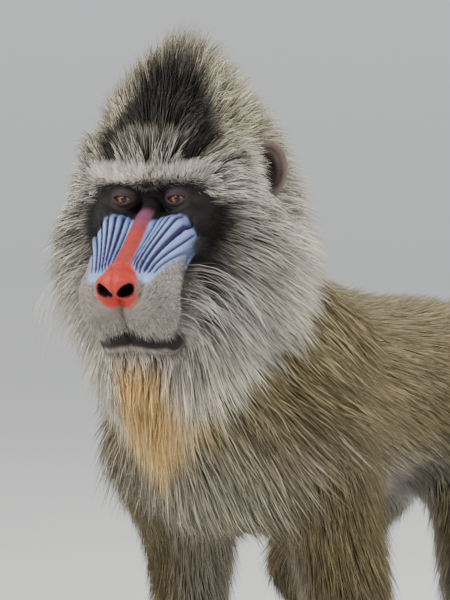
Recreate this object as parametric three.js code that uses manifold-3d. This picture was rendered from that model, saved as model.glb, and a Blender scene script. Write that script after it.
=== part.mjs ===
// An adult mandrill standing on all fours, life size, with its head turned a little to its left.
// Millimetres, +Z up, the animal faces -Y and its left side is at +X. The floor is at z = 0.
// The flesh is described by rounded forms blended into fields, and each sub-part is the surface
// of its own field. Long hair is built as flat tapered locks joined to the sub-part they grow from.
import * as THREE from "three";
import { mergeVertices } from "three/addons/utils/BufferGeometryUtils.js";
import Module from "manifold-3d";

const wasm = await Module();
wasm.setup();

// Driving sizes
const gap = 0.32;
const eyePoint = [29, -377, 612];
const headYaw = 15;
const muzzleSlope = 40;
const eyeRadius = 11.5;
const eyeSpread = 25;
const muzzleLength = 120;
const chestHeight = 412;
const chestHalfWidth = 92;
const shoulderHeight = 392;
const shoulderSpread = 86;
const hipHeight = 392;
const hipSpread = 66;
const upperArmLength = 178;
const forearmLength = 188;
const thighLength = 192;
const shinLength = 196;
const wristHeight = 58;
const ankleHeight = 70;
const handSpread = 90;
const footSpread = 80;
const standShift = [1, 81, 0];

// Short vector helpers on plain arrays
const add = (a, b, k = 1) => [a[0] + b[0] * k, a[1] + b[1] * k, a[2] + b[2] * k];
const sub = (a, b) => add(a, b, -1);
const dot = (a, b) => a[0] * b[0] + a[1] * b[1] + a[2] * b[2];
const cross = (a, b) => [
  a[1] * b[2] - a[2] * b[1],
  a[2] * b[0] - a[0] * b[2],
  a[0] * b[1] - a[1] * b[0],
];
const size = (a) => Math.hypot(a[0], a[1], a[2]);
const unit = (a) => add([0, 0, 0], a, 1 / size(a));
const mix = (a, b, t) => add(add([0, 0, 0], a, 1 - t), b, t);
const lerp = (a, b, t) => a + (b - a) * t;
const clamp = (x, lo = 0, hi = 1) => Math.min(hi, Math.max(lo, x));
const radians = (degrees) => (degrees * Math.PI) / 180;

// A soft step from 0 at lo to 1 at hi.
function ease(lo, hi, x) {
  const t = clamp((x - lo) / (hi - lo));
  return t * t * (3 - 2 * t);
}

// A value read off a short list of [place, value] pairs.
function along(pairs, x) {
  let i = 1;
  while (i < pairs.length - 1 && x > pairs[i][0]) i++;
  const [x0, y0] = pairs[i - 1];
  const [x1, y1] = pairs[i];
  return lerp(y0, y1, clamp((x - x0) / (x1 - x0)));
}

// Seeded draws, so that each build gives the same coat.
let seed = 7;
function draw(lo = 0, hi = 1) {
  seed = (seed * 1664525 + 1013904223) % 4294967296;
  return lo + ((hi - lo) * seed) / 4294967296;
}

// Distance to a bar with round ends.
function bar(a, b, ra, rb = ra) {
  const ab = sub(b, a);
  const long = dot(ab, ab);
  return (p) => {
    const t = clamp(dot(sub(p, a), ab) / long);
    return size(sub(p, add(a, ab, t))) - lerp(ra, rb, t);
  };
}

// Distance, near enough, to an egg with three radii, pitched about X and turned about Z.
function egg(centre, radii, pitch = 0, turn = 0) {
  const [cp, sp] = [Math.cos(radians(pitch)), Math.sin(radians(pitch))];
  const [ct, st] = [Math.cos(radians(turn)), Math.sin(radians(turn))];
  return (p) => {
    const d = sub(p, centre);
    const x = ct * d[0] + st * d[1];
    const y0 = -st * d[0] + ct * d[1];
    const y = cp * y0 + sp * d[2];
    const z = -sp * y0 + cp * d[2];
    const k0 = Math.hypot(x / radii[0], y / radii[1], z / radii[2]);
    const k1 = Math.hypot(x / radii[0] ** 2, y / radii[1] ** 2, z / radii[2] ** 2);
    return k1 < 1e-9 ? -Math.min(...radii) : (k0 * (k0 - 1)) / k1;
  };
}

function softMin(a, b, k) {
  const h = Math.max(k - Math.abs(a - b), 0) / k;
  return Math.min(a, b) - (h * h * k) / 4;
}

// Forms blended one after another: each entry is [field, blend], and a third entry "cut" carves it.
function blend(entries, mirrored = true) {
  return (p) => {
    const q = mirrored ? [Math.abs(p[0]), p[1], p[2]] : p;
    let d = entries[0][0](q);
    for (let i = 1; i < entries.length; i++) {
      const [f, k, cut] = entries[i];
      d = cut ? -softMin(-d, f(q), k) : softMin(d, f(q), k);
    }
    return d;
  };
}

// The head's own frame: origin between the eyes, turned by headYaw.
const yaw = radians(headYaw);
function toBody(p) {
  const x = Math.cos(yaw) * p[0] - Math.sin(yaw) * p[1];
  const y = Math.sin(yaw) * p[0] + Math.cos(yaw) * p[1];
  return [x + eyePoint[0], y + eyePoint[1], p[2] + eyePoint[2]];
}
function toHead(p) {
  const d = sub(p, eyePoint);
  return [
    Math.cos(yaw) * d[0] + Math.sin(yaw) * d[1],
    -Math.sin(yaw) * d[0] + Math.cos(yaw) * d[1],
    d[2],
  ];
}
// A point of the muzzle: x to the left, s along the muzzle from the eyes, h above its top line.
const slope = radians(muzzleSlope);
function onMuzzle(x, s, h) {
  return [
    x,
    -Math.cos(slope) * s - Math.sin(slope) * h,
    -Math.sin(slope) * s + Math.cos(slope) * h,
  ];
}

// Surfaces: rays leave a spine and end where the field less a growth is zero. Each row of rays is
// [place along the spine, tilt towards its end in degrees], and both only rise from row to row.
function wrap(field, spine, { rows, sides, up = [0, 0, 1], grow = 0, gather = 0 }) {
  const curve = new THREE.CatmullRomCurve3(spine.map((p) => new THREE.Vector3(...p)));
  const points = [];
  const frameAt = (t) => {
    const o = curve.getPointAt(t).toArray();
    const tangent = curve.getTangentAt(t).toArray();
    const side = unit(cross(tangent, up));
    return { o, tangent, side, rise: cross(side, tangent) };
  };
  const [first, last] = [frameAt(0), frameAt(1)];
  points.push(reach(field, grow, first.o, add([0, 0, 0], first.tangent, -1)));
  for (const [t, tilt] of rows) {
    const { o, tangent, side, rise } = frameAt(t);
    for (let j = 0; j < sides; j++) {
      const even = (j / sides) * 2 * Math.PI + Math.PI / 2;
      const a = even + gather * Math.cos(even);
      const out = add(add([0, 0, 0], side, Math.cos(a)), rise, Math.sin(a));
      const k = radians(tilt);
      const d = add(add([0, 0, 0], out, Math.cos(k)), tangent, Math.sin(k));
      points.push(reach(field, grow, o, d));
    }
  }
  points.push(reach(field, grow, last.o, last.tangent));
  return solidOf(points, sides, rows.length);
}

// Where a ray from inside a field first leaves it.
function reach(field, grow, o, d) {
  const level = (p) => field(p) - grow;
  let inside = 0;
  let step = 0;
  for (let i = 0; i < 160; i++) {
    const v = level(add(o, d, step));
    if (v > 0) break;
    inside = step;
    step += Math.max(-v * 0.7, 1);
  }
  let outside = step;
  for (let i = 0; i < 14; i++) {
    const mid = (inside + outside) / 2;
    if (level(add(o, d, mid)) > 0) outside = mid;
    else inside = mid;
  }
  return add(o, d, outside);
}

// Rows for a plain barrel: level rings along the spine and a few tilted rows round each end.
function barrel(rings, caps) {
  const rows = [];
  for (let i = caps; i > 0; i--) rows.push([0, (-90 * i) / (caps + 1)]);
  for (let i = 0; i < rings; i++) rows.push([i / (rings - 1), 0]);
  for (let i = 1; i <= caps; i++) rows.push([1, (90 * i) / (caps + 1)]);
  return rows;
}

// A closed surface from a pole, rows of equal count and a second pole.
function solidOf(points, sides, rows) {
  const index = [];
  const at = (i, j) => 1 + i * sides + (j % sides);
  const end = points.length - 1;
  for (let j = 0; j < sides; j++) {
    index.push(0, at(0, j + 1), at(0, j));
    for (let i = 0; i < rows - 1; i++) {
      const [a, b, c, d] = [at(i, j), at(i, j + 1), at(i + 1, j + 1), at(i + 1, j)];
      if (j < sides / 2) index.push(a, b, c, a, c, d);
      else index.push(a, b, d, b, c, d);
    }
    index.push(end, at(rows - 1, j), at(rows - 1, j + 1));
  }
  return manifold(points.flat(), index);
}

function manifold(vertProperties, triVerts) {
  const build = (tris) =>
    new wasm.Manifold(
      new wasm.Mesh({
        numProp: 3,
        vertProperties: new Float32Array(vertProperties),
        triVerts: new Uint32Array(tris),
      }),
    );
  const made = build(triVerts);
  if (made.volume() > 0) return made;
  const turned = [];
  for (let i = 0; i < triVerts.length; i += 3)
    turned.push(triVerts[i], triVerts[i + 2], triVerts[i + 1]);
  return build(turned);
}

// A solid from a three.js geometry, placed by a matrix.
function fromGeometry(geometry, matrix = new THREE.Matrix4()) {
  const placed = geometry.clone().applyMatrix4(matrix);
  placed.deleteAttribute("normal");
  placed.deleteAttribute("uv");
  const merged = mergeVertices(placed, 1e-3);
  return manifold([...merged.attributes.position.array], [...merged.index.array]);
}

// A tapered body along stations of [point, half width, half thickness], flat across the given normal.
function loft(stations, sides, normal = [0, 0, 1], sharpTip = false) {
  const points = [stations[0][0]];
  const count = sharpTip ? stations.length - 1 : stations.length;
  for (let i = 0; i < count; i++) {
    const before = stations[Math.max(i - 1, 0)][0];
    const after = stations[Math.min(i + 1, stations.length - 1)][0];
    const tangent = unit(sub(after, before));
    const side = unit(cross(tangent, normal));
    const rise = cross(side, tangent);
    const [o, wide, thick] = stations[i];
    for (let j = 0; j < sides; j++) {
      const a = (j / sides) * 2 * Math.PI;
      points.push(add(add(o, side, Math.cos(a) * wide), rise, Math.sin(a) * thick));
    }
  }
  points.push(stations[stations.length - 1][0]);
  if (!sharpTip) {
    const [o, , thick] = stations[stations.length - 1];
    const tangent = unit(sub(o, stations[stations.length - 2][0]));
    points[points.length - 1] = add(o, tangent, thick * 0.6);
  }
  return solidOf(points, sides, count);
}

function largest(solid) {
  const bodies = solid.decompose();
  return bodies.reduce((best, b) => (b.volume() > best.volume() ? b : best), bodies[0]);
}
const join = (solids) => solids.reduce((a, b) => a.add(b));

// Torso
const torsoField = blend([
  [egg([0, -115, chestHeight], [chestHalfWidth, 150, 106], 4)],
  [egg([0, 45, 408], [80, 150, 84]), 60],
  [egg([0, 172, 412], [74, 92, 82]), 50],
  [bar([0, -185, 452], [0, 185, 438], 62, 56), 40],
  [bar([44, -165, 452], [64, -204, 394], 46, 46), 40],
  [egg([52, 168, 384], [44, 74, 84]), 40],
  [egg([0, -222, 368], [58, 46, 58]), 40],
]);
const rumpCentre = [0, 268, 410];
function torsoCoat(p) {
  const bare = 1 - ease(50, 105, size(sub(p, rumpCentre)));
  const belly = ease(360, 300, p[2]);
  return lerp(15 - 5 * belly, 1, bare);
}
const torsoSkin = (p) => torsoField(p) - torsoCoat(p);

// Neck
const neckField = blend(
  [
    [bar([0, -195, 448], [8, -288, 578], 84, 56)],
    [bar([0, -225, 395], [20, -330, 530], 58, 46), 40],
    [egg([4, -250, 500], [84, 70, 96], 40), 30],
  ],
  false,
);
const neckSkin = (p) => neckField(p) - 14;

// Head
const headField = blend([
  [egg([0, 72, 14], [62, 74, 54])],
  [egg([0, 84, 60], [34, 58, 34]), 26],
  [bar([0, 62, -24], [0, -18, -66], 46, 30), 10],
  [bar([0, -11, 20], [46, 0, 19], 12, 10), 12],
  [egg([42, 36, 4], [22, 36, 32]), 20],
  [bar([38, -5, -19], [60, 42, -14], 12, 14), 16],
  [egg([44, 44, -50], [25, 36, 46]), 24],
  [bar(onMuzzle(15, 34, -25), onMuzzle(19, 98, -25), 25, 24), 14],
  [egg(onMuzzle(17, 103, -37), [25, 21, 18], muzzleSlope), 10],
  [bar(onMuzzle(0, 8, -5), onMuzzle(0, 106, -4), 8, 9), 8],
  [bar(onMuzzle(13, 92, -3), onMuzzle(27, 34, -8), 9, 13), 6],
  [bar(onMuzzle(25, 86, -12), onMuzzle(41, 38, -20), 8, 10), 8],
  [egg(onMuzzle(0, 111, -5), [19, 12, 13], muzzleSlope), 5],
  [egg(onMuzzle(13, 111, -9), [9, 10, 9], muzzleSlope), 3],
  [bar(onMuzzle(9, 106, -70), [40, 52, -86], 18, 22), 12],
  [bar([0, -28, -112], [0, 55, -92], 24, 32), 14],
  [egg([26, -23, 0], [16, 13, 11]), 7, "cut"],
]);
function headCoat(p) {
  const sides = 18 * ease(2, 52, p[1]);
  const forehead = 12 * ease(30, 46, p[2]) * ease(-20, 8, p[1]);
  const chin = 9 * ease(-85, -115, p[2]) * ease(-75, -10, p[1]);
  return Math.max(sides, forehead, chin);
}
const coatedHead = (p) => headField(p) - headCoat(p);
const headSkin = (p) => coatedHead(toHead(p));
const headSpine = [[0, 92, 10], [0, 24, -35], onMuzzle(0, 90, -32)].map(toBody);

// Limbs
// The middle joint of a two-bone limb, bent towards a direction.
function middleJoint(top, bottom, upper, lower, towards) {
  const line = sub(bottom, top);
  const d = size(line);
  const share = (d * d + upper * upper - lower * lower) / (2 * d);
  const off = Math.sqrt(Math.max(upper * upper - share * share, 0));
  const axis = unit(line);
  const side = unit(sub(towards, add([0, 0, 0], axis, dot(towards, axis))));
  return add(add(top, axis, share), side, off);
}
const sideOf = { left: 1, right: -1 };
const handReach = { left: -78, right: 12 };
const footReach = { left: 30, right: -28 };
function armOf(side) {
  const s = sideOf[side];
  const shoulder = [s * shoulderSpread, -203, shoulderHeight];
  const wrist = [s * handSpread, -186 + handReach[side], wristHeight];
  const elbow = middleJoint(shoulder, wrist, upperArmLength, forearmLength, [s * 0.3, 1, 0]);
  return { s, shoulder, elbow, wrist };
}
function legOf(side) {
  const s = sideOf[side];
  const hip = [s * hipSpread, 176, hipHeight];
  const ankle = [s * footSpread, 214 + footReach[side], ankleHeight];
  const knee = middleJoint(hip, ankle, thighLength, shinLength, [s * 0.25, -1, 0]);
  return { s, hip, knee, ankle };
}

function upperArmSkin(side) {
  const { s, shoulder, elbow } = armOf(side);
  const field = blend(
    [
      [bar(shoulder, elbow, 44, 29)],
      [egg(add(shoulder, [s * 2, 6, -20]), [36, 48, 62]), 24],
      [bar(add(shoulder, [-s * 8, 50, -40]), add(elbow, [0, 14, 22]), 30, 22), 20],
    ],
    false,
  );
  return (p) => field(p) - 13;
}
function upperArm(side, grow = 0) {
  const { shoulder, elbow } = armOf(side);
  const spine = [add(shoulder, [0, 0, 8]), mix(shoulder, elbow, 0.5), elbow];
  return wrap(upperArmSkin(side), spine, { rows: barrel(6, 2),
    sides: 12, up: [0, -1, 0.2], grow });
}
function forearmSkin(side) {
  const { elbow, wrist } = armOf(side);
  const bulge = mix(elbow, wrist, 0.25);
  const field = blend(
    [[bar(elbow, wrist, 27, 18)], [egg(add(bulge, [0, 2, 0]), [27, 31, 52]), 16]],
    false,
  );
  return (p) => field(p) - 9;
}
function forearm(side, grow = 0) {
  const { elbow, wrist } = armOf(side);
  const low = mix(elbow, wrist, 0.94);
  return wrap(forearmSkin(side), [elbow, mix(elbow, low, 0.5), low], {
    rows: barrel(6, 1),
    sides: 10,
    up: [0, -1, 0.2],
    grow,
  });
}
function thighSkin(side) {
  const { s, hip, knee } = legOf(side);
  const field = blend(
    [
      [bar(hip, knee, 52, 34)],
      [egg(add(hip, [s * 4, 10, -50]), [40, 70, 84], -14), 24],
    ],
    false,
  );
  return (p) => field(p) - 12;
}
function thigh(side, grow = 0) {
  const { hip, knee } = legOf(side);
  const spine = [hip, mix(hip, knee, 0.5), knee];
  return wrap(thighSkin(side), spine, { rows: barrel(6, 2),
    sides: 12, up: [0, -1, 0.2], grow });
}
function shin(side, grow = 0) {
  const { knee, ankle } = legOf(side);
  const calf = mix(knee, ankle, 0.34);
  const field = blend(
    [[bar(knee, ankle, 29, 17)], [egg(add(calf, [0, 8, 4]), [24, 26, 60], 38), 16]],
    false,
  );
  const low = mix(knee, ankle, 0.93);
  return wrap(field, [knee, mix(knee, low, 0.5), low], {
    rows: barrel(6, 1),
    sides: 10,
    up: [0, -1, 0.2],
    grow: 8 + grow,
  });
}

// A digit through its joints, each joint as [point, radius].
function digit(joints, grow = 0) {
  const stations = joints.map(([p, r]) => [p, r + grow, r + grow]);
  return loft(stations, 6, [1, 0, 0.01]);
}
// Everything under the floor is taken off, which leaves the small flats that it stands on.
function aboveFloor(solid) {
  const depth = 60;
  const block = new THREE.BoxGeometry(4000, 4000, depth);
  return solid.subtract(fromGeometry(block, new THREE.Matrix4().makeTranslation(0, 0, -depth / 2)));
}
function hand(side, grow = 0) {
  const { s, wrist } = armOf(side);
  const at = (x, y, z) => [wrist[0] + s * x, wrist[1] + y, z];
  const palmField = blend(
    [
      [bar(wrist, at(0, -14, 42), 20, 19)],
      [bar(at(-17, -44, 22), at(20, -42, 21), 12, 11), 14],
      [bar(at(-8, -18, 34), at(12, -18, 34), 15, 14), 12],
    ],
    false,
  );
  const palm = wrap(palmField, [add(wrist, [0, 0, -4]), at(0, -22, 38), at(1, -42, 23)], {
    rows: barrel(4, 1),
    sides: 9,
    up: [0, -0.6, 1],
    grow: 3 + grow,
  });
  const digits = [
    [-19, -46, -25, -104, 8.4],
    [-6, -50, -8, -114, 8.8],
    [8, -50, 10, -112, 8.6],
    [21, -46, 27, -98, 7.8],
  ].map(([x0, y0, x1, y1, r]) =>
    digit(
      [
        [at(x0, y0, 22), r + 1.5],
        [at(lerp(x0, x1, 0.45), lerp(y0, y1, 0.4), 15), r + 0.6],
        [at(lerp(x0, x1, 0.75), lerp(y0, y1, 0.75), r - 1.5), r],
        [at(x1, y1, r - 2.2), r * 0.8],
      ],
      grow,
    ),
  );
  const thumb = digit(
    [
      [at(-16, -20, 30), 10],
      [at(-29, -36, 17), 8.5],
      [at(-35, -58, 6.5), 7.6],
      [at(-37, -70, 5.2), 6],
    ],
    grow,
  );
  return aboveFloor(join([palm, ...digits, thumb]));
}
function foot(side, grow = 0) {
  const { s, ankle } = legOf(side);
  const at = (x, y, z) => [ankle[0] + s * x, ankle[1] + y, z];
  const footField = blend(
    [
      [bar(ankle, at(0, 10, 34), 19, 20)],
      [bar(at(0, 24, 19), at(2, -70, 17), 17, 14), 16],
      [bar(at(-18, -82, 14), at(20, -80, 13), 12, 11), 14],
    ],
    false,
  );
  const sole = wrap(footField, [at(0, 22, 20), at(0, -30, 18), at(1, -80, 14)], {
    rows: barrel(5, 1),
    sides: 9,
    grow: 3 + grow,
  });
  const instep = wrap(bar(ankle, at(0, 4, 30), 19, 22), [ankle, at(0, 4, 30)], {
    rows: barrel(2, 1),
    sides: 9,
    up: [0, -1, 0],
    grow: 3 + grow,
  });
  const toes = [
    [-10, -88, -13, -142, 8.4],
    [1, -90, 2, -152, 8.6],
    [11, -88, 15, -148, 8.2],
    [21, -84, 29, -134, 7.6],
  ].map(([x0, y0, x1, y1, r]) =>
    digit(
      [
        [at(x0, y0, 14), r + 1],
        [at(lerp(x0, x1, 0.5), lerp(y0, y1, 0.5), 12), r + 0.4],
        [at(lerp(x0, x1, 0.8), lerp(y0, y1, 0.8), r - 1.5), r],
        [at(x1, y1, r - 2.2), r * 0.8],
      ],
      grow,
    ),
  );
  const bigToe = digit(
    [
      [at(-14, -40, 18), 12],
      [at(-30, -62, 12), 10.5],
      [at(-41, -86, 7.5), 9.5],
      [at(-45, -102, 6.2), 7.5],
    ],
    grow,
  );
  return aboveFloor(join([sole, instep, ...toes, bigToe]));
}

const torso = (grow = 0) =>
  wrap(torsoSkin, [[0, -190, 422], [0, 195, 422]], {
    rows: barrel(11, 3),
    sides: 20,
    grow,
  });
const neck = (grow = 0) =>
  wrap(neckSkin, [[0, -205, 440], [8, -286, 566]], {
    rows: barrel(6, 2),
    sides: 18,
    up: [0, -1, 0],
    grow,
  });
const tail = (grow = 0) => {
  const field = blend([
    [bar([0, 236, 470], [0, 284, 500], 17, 13)],
    [bar([0, 284, 500], [0, 292, 548], 13, 9), 10],
  ]);
  return wrap(field, [[0, 238, 471], [0, 280, 498], [0, 291, 545]], {
    rows: barrel(5, 1),
    sides: 8,
    up: [0, -1, 0.5],
    grow: 6 + grow,
  });
};

const headRows = [
  [0, -66],
  [0, -40],
  [0, -14],
  ...Array.from({ length: 21 }, (_, i) => {
    const u = i / 20;
    return [along([[0, 0.06], [0.45, 0.3], [1, 1]], u), along([[0, 8], [0.3, 34], [0.8, 30], [1, 40]], u)];
  }),
  [1, 54],
  [1, 68],
  [1, 80],
];
const wholeHead = (grow = 0) =>
  wrap(headSkin, headSpine, { rows: headRows, sides: 30, grow, gather: 0.35 });

// The mouth line, and behind its corner the seam between the head and the jaw, as a thin bent sheet.
function mouthSheet(extra = 0) {
  const line = [
    [onMuzzle(0, 150, -49), 1.3],
    [onMuzzle(0, 76, -53), 1.1],
    [onMuzzle(0, 58, -56), gap / 2],
    [[0, 16, -90], gap / 2],
    [[0, 46, -108], gap / 2],
    [[0, 60, -175], gap / 2],
  ];
  const edge = (sign) =>
    line.map(([p, half], i) => {
      const before = line[Math.max(i - 1, 0)][0];
      const after = line[Math.min(i + 1, line.length - 1)][0];
      const t = unit(sub(after, before));
      return [p[1] + sign * (half + extra) * t[2], p[2] - sign * (half + extra) * t[1]];
    });
  const outline = [...edge(1), ...edge(-1).reverse()];
  const shape = new THREE.Shape(outline.map(([y, z]) => new THREE.Vector2(y, z)));
  const width = 320;
  const sheet = new THREE.ExtrudeGeometry(shape, { depth: width, bevelEnabled: false, steps: 1 });
  // The shape's own x, y and depth become the head's y, z and x.
  const turn = new THREE.Matrix4().set(0, 0, 1, -width / 2, 1, 0, 0, 0, 0, 1, 0, 0, 0, 0, 0, 1);
  return fromGeometry(sheet, headMatrix.clone().multiply(turn));
}
const turned = (v) => sub(toBody(v), eyePoint);
const headMatrix = new THREE.Matrix4()
  .makeTranslation(...eyePoint)
  .multiply(new THREE.Matrix4().makeRotationZ(yaw));

const ball = (centre, radius, grow = 0, segments = 10) =>
  fromGeometry(
    new THREE.SphereGeometry(radius + grow, segments, Math.round(segments * 0.7)),
    headMatrix.clone().multiply(new THREE.Matrix4().makeTranslation(...centre)),
  );
const eyeCentre = (s) => [s * eyeSpread, 1, 0];

// Furrows that fan up each ridge from beside the nose, each as its x at the low and the high end.
const furrowEnds = [
  [10, 14],
  [17, 26],
  [24, 37],
];
function furrow(s, low, high) {
  const stations = [
    [94, 0.2],
    [82, 1.9],
    [56, 2.1],
    [38, 0.3],
  ].map(([along1, half]) => {
    const x = s * lerp(high, low, (along1 - 38) / 56);
    const inner = onMuzzle(0, along1, -25);
    const towards = sub(onMuzzle(x, along1, 0), inner);
    const top = reach(coatedHead, 0, inner, unit(towards));
    return [toBody(top), half, half];
  });
  return loft(stations, 4, turned([0, -0.6, 0.8]));
}

function makeHead() {
  let solid = wholeHead();
  for (const s of [1, -1]) {
    solid = solid.add(ball(eyeCentre(s), eyeRadius + 1.8, 0, 14));
  }
  for (const s of [1, -1]) {
    const half = 9.5;
    const lift = 4.2;
    const opening = new THREE.Shape();
    opening.moveTo(-half, -s * 0.8);
    opening.quadraticCurveTo(0, lift * 2, half, s * 0.8);
    opening.quadraticCurveTo(0, -lift * 2, -half, -s * 0.8);
    const prism = new THREE.ExtrudeGeometry(opening, { depth: 40, bevelEnabled: false, curveSegments: 6 });
    const place = new THREE.Matrix4()
      .makeTranslation(...add(eyeCentre(s), [0, -2, 0]))
      .multiply(new THREE.Matrix4().makeRotationX(Math.PI / 2));
    solid = solid.subtract(fromGeometry(prism, headMatrix.clone().multiply(place)));
    solid = solid.subtract(ball(eyeCentre(s), eyeRadius, gap));
    const nostril = fromGeometry(
      new THREE.SphereGeometry(1, 9, 6),
      headMatrix
        .clone()
        .multiply(new THREE.Matrix4().makeTranslation(...onMuzzle(s * 10, 122, -9)))
        .multiply(new THREE.Matrix4().makeRotationY(s * 0.5))
        .multiply(new THREE.Matrix4().makeRotationX(slope))
        .multiply(new THREE.Matrix4().makeScale(7, 13, 5.2)),
    );
    solid = solid.subtract(nostril);
  }
  for (const s of [1, -1]) {
    for (const [low, high] of furrowEnds) solid = solid.subtract(furrow(s, low, high));
  }
  const pieces = solid.subtract(mouthSheet()).decompose();
  pieces.sort((a, b) => b.volume() - a.volume());
  return { head: pieces[0], jaw: pieces[1] };
}

function ear(s) {
  const centre = [s * 93, 82, 26];
  const place = headMatrix
    .clone()
    .multiply(new THREE.Matrix4().makeTranslation(...centre))
    .multiply(new THREE.Matrix4().makeRotationZ(s * radians(-38)))
    .multiply(new THREE.Matrix4().makeRotationX(radians(-12)));
  const scaled = (x, y, z, dx, dz) =>
    fromGeometry(
      new THREE.SphereGeometry(1, 10, 6),
      place
        .clone()
        .multiply(new THREE.Matrix4().makeTranslation(s * dx, 0, dz))
        .multiply(new THREE.Matrix4().makeScale(x, y, z)),
    );
  const cup = scaled(11, 21, 28, 0, 0).subtract(scaled(11, 17, 23.5, 7, 1));
  const root = loft(
    [
      [toBody(add(centre, [-s * 34, 4, -6])), 14, 14],
      [toBody(add(centre, [-s * 4, 2, -4])), 9, 12],
    ],
    8,
  );
  return cup.add(root);
}

const colours = {
  coat: 0x5a5238,
  crest: 0x2b2720,
  skin: 0x2a2426,
  eye: 0xb06a1e,
  ear: 0xb59a8a,
};
const group = new THREE.Group();
function place(name, solid, colour) {
  const mesh = solid.getMesh();
  const geometry = new THREE.BufferGeometry();
  geometry.setAttribute("position", new THREE.BufferAttribute(new Float32Array(mesh.vertProperties), 3));
  geometry.setIndex(new THREE.BufferAttribute(new Uint32Array(mesh.triVerts), 1));
  geometry.translate(...standShift);
  const material = new THREE.MeshStandardMaterial({ color: colour, roughness: 0.8, metalness: 0 });
  const made = new THREE.Mesh(geometry, material);
  made.name = name;
  group.add(made);
}

// Cores: each sub-part without its long hair, cut clear of its neighbours by the gap.
const cores = {};
const headGrown = wholeHead(gap);
const torsoGrown = torso(gap);
const { head, jaw } = makeHead();
cores.head = head;
cores.lower_jaw = jaw;
cores.torso = torso();
cores.neck = largest(neck().subtract(headGrown).subtract(torsoGrown));
cores.tail = largest(tail().subtract(torsoGrown));
const neckGrown = neck(gap);
for (const side of ["left", "right"]) {
  const s = sideOf[side];
  cores["eye_" + side] = ball(eyeCentre(s), eyeRadius);
  cores["ear_" + side] = largest(ear(s).subtract(headGrown));
  cores["upper_arm_" + side] = largest(upperArm(side).subtract(torsoGrown).subtract(neckGrown));
  cores["forearm_" + side] = largest(forearm(side).subtract(upperArm(side, gap)).subtract(torsoGrown));
  cores["hand_" + side] = largest(hand(side).subtract(forearm(side, gap)));
  cores["thigh_" + side] = largest(thigh(side).subtract(torsoGrown));
  cores["shin_" + side] = largest(shin(side).subtract(thigh(side, gap)).subtract(torsoGrown));
  cores["foot_" + side] = largest(foot(side).subtract(shin(side, gap)));
}

// Long hair
const skins = { head: headSkin, neck: neckSkin, torso: torsoSkin };
for (const side of ["left", "right"]) {
  skins["upper_arm_" + side] = upperArmSkin(side);
  skins["forearm_" + side] = forearmSkin(side);
  skins["thigh_" + side] = thighSkin(side);
}
const slopeOf = (field, p) => {
  const e = 0.5;
  return unit([
    field([p[0] + e, p[1], p[2]]) - field([p[0] - e, p[1], p[2]]),
    field([p[0], p[1] + e, p[2]]) - field([p[0], p[1] - e, p[2]]),
    field([p[0], p[1], p[2] + e]) - field([p[0], p[1], p[2] - e]),
  ]);
};
// Pushes a point out until it stands clear of all the body's skins by a margin.
function clearOf(p, margin) {
  let q = p;
  for (let i = 0; i < 6; i++) {
    for (const field of Object.values(skins)) {
      const short = margin - field(q);
      if (short > 0) q = add(q, slopeOf(field, q), short);
    }
  }
  return q;
}

// A flat lock from a root to a tip by way of a bend, with a low ridge on the side that it faces.
// It is widest a third of the way along and sharp at the end.
const lockShape = [
  [0, 0.62],
  [0.38, 1],
  [0.74, 0.64],
];
function lock(root, bend, tip, facing, width, thickness, grow = 0) {
  const curve = new THREE.QuadraticBezierCurve3(
    ...[root, bend, tip].map((p) => new THREE.Vector3(...p)),
  );
  const start = add(root, unit(sub(bend, root)), -grow);
  const points = [start];
  for (const [t, k] of lockShape) {
    const o = t === 0 ? start : curve.getPoint(t).toArray();
    const tangent = curve.getTangent(t).toArray();
    const side = unit(cross(tangent, facing));
    const rise = cross(side, tangent);
    const half = (width / 2) * k + grow * 1.5;
    const low = add(o, rise, -thickness * 0.25 * k - grow);
    points.push(add(low, side, half), add(o, rise, thickness * 0.75 * k + grow), add(low, side, -half));
  }
  points.push(add(tip, unit(sub(tip, bend)), grow * 2));
  return solidOf(points, 3, lockShape.length);
}

const locks = {};
const boxOf = (solid) => solid.boundingBox();
const apart = (a, b) => [0, 1, 2].some((k) => a.max[k] < b.min[k] || b.max[k] < a.min[k]);
// Keeps a lock only where it stands clear of every other sub-part and of the hair on it.
function tryLock(owner, shape) {
  const grown = lock(...shape, gap);
  const box = boxOf(grown);
  for (const [name, core] of Object.entries(cores)) {
    if (name === owner) continue;
    for (const other of [core, ...(locks[name] || [])]) {
      if (apart(box, boxOf(other))) continue;
      if (grown.intersect(other).volume() > 1e-6) return false;
    }
  }
  const own = lock(...shape);
  if (!locks[owner]) locks[owner] = [];
  locks[owner].push(own);
  return true;
}
function growLock(owner, make, tries = 4) {
  for (let k = 0; k < tries; k++) {
    if (tryLock(owner, make(k))) return;
  }
}

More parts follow.
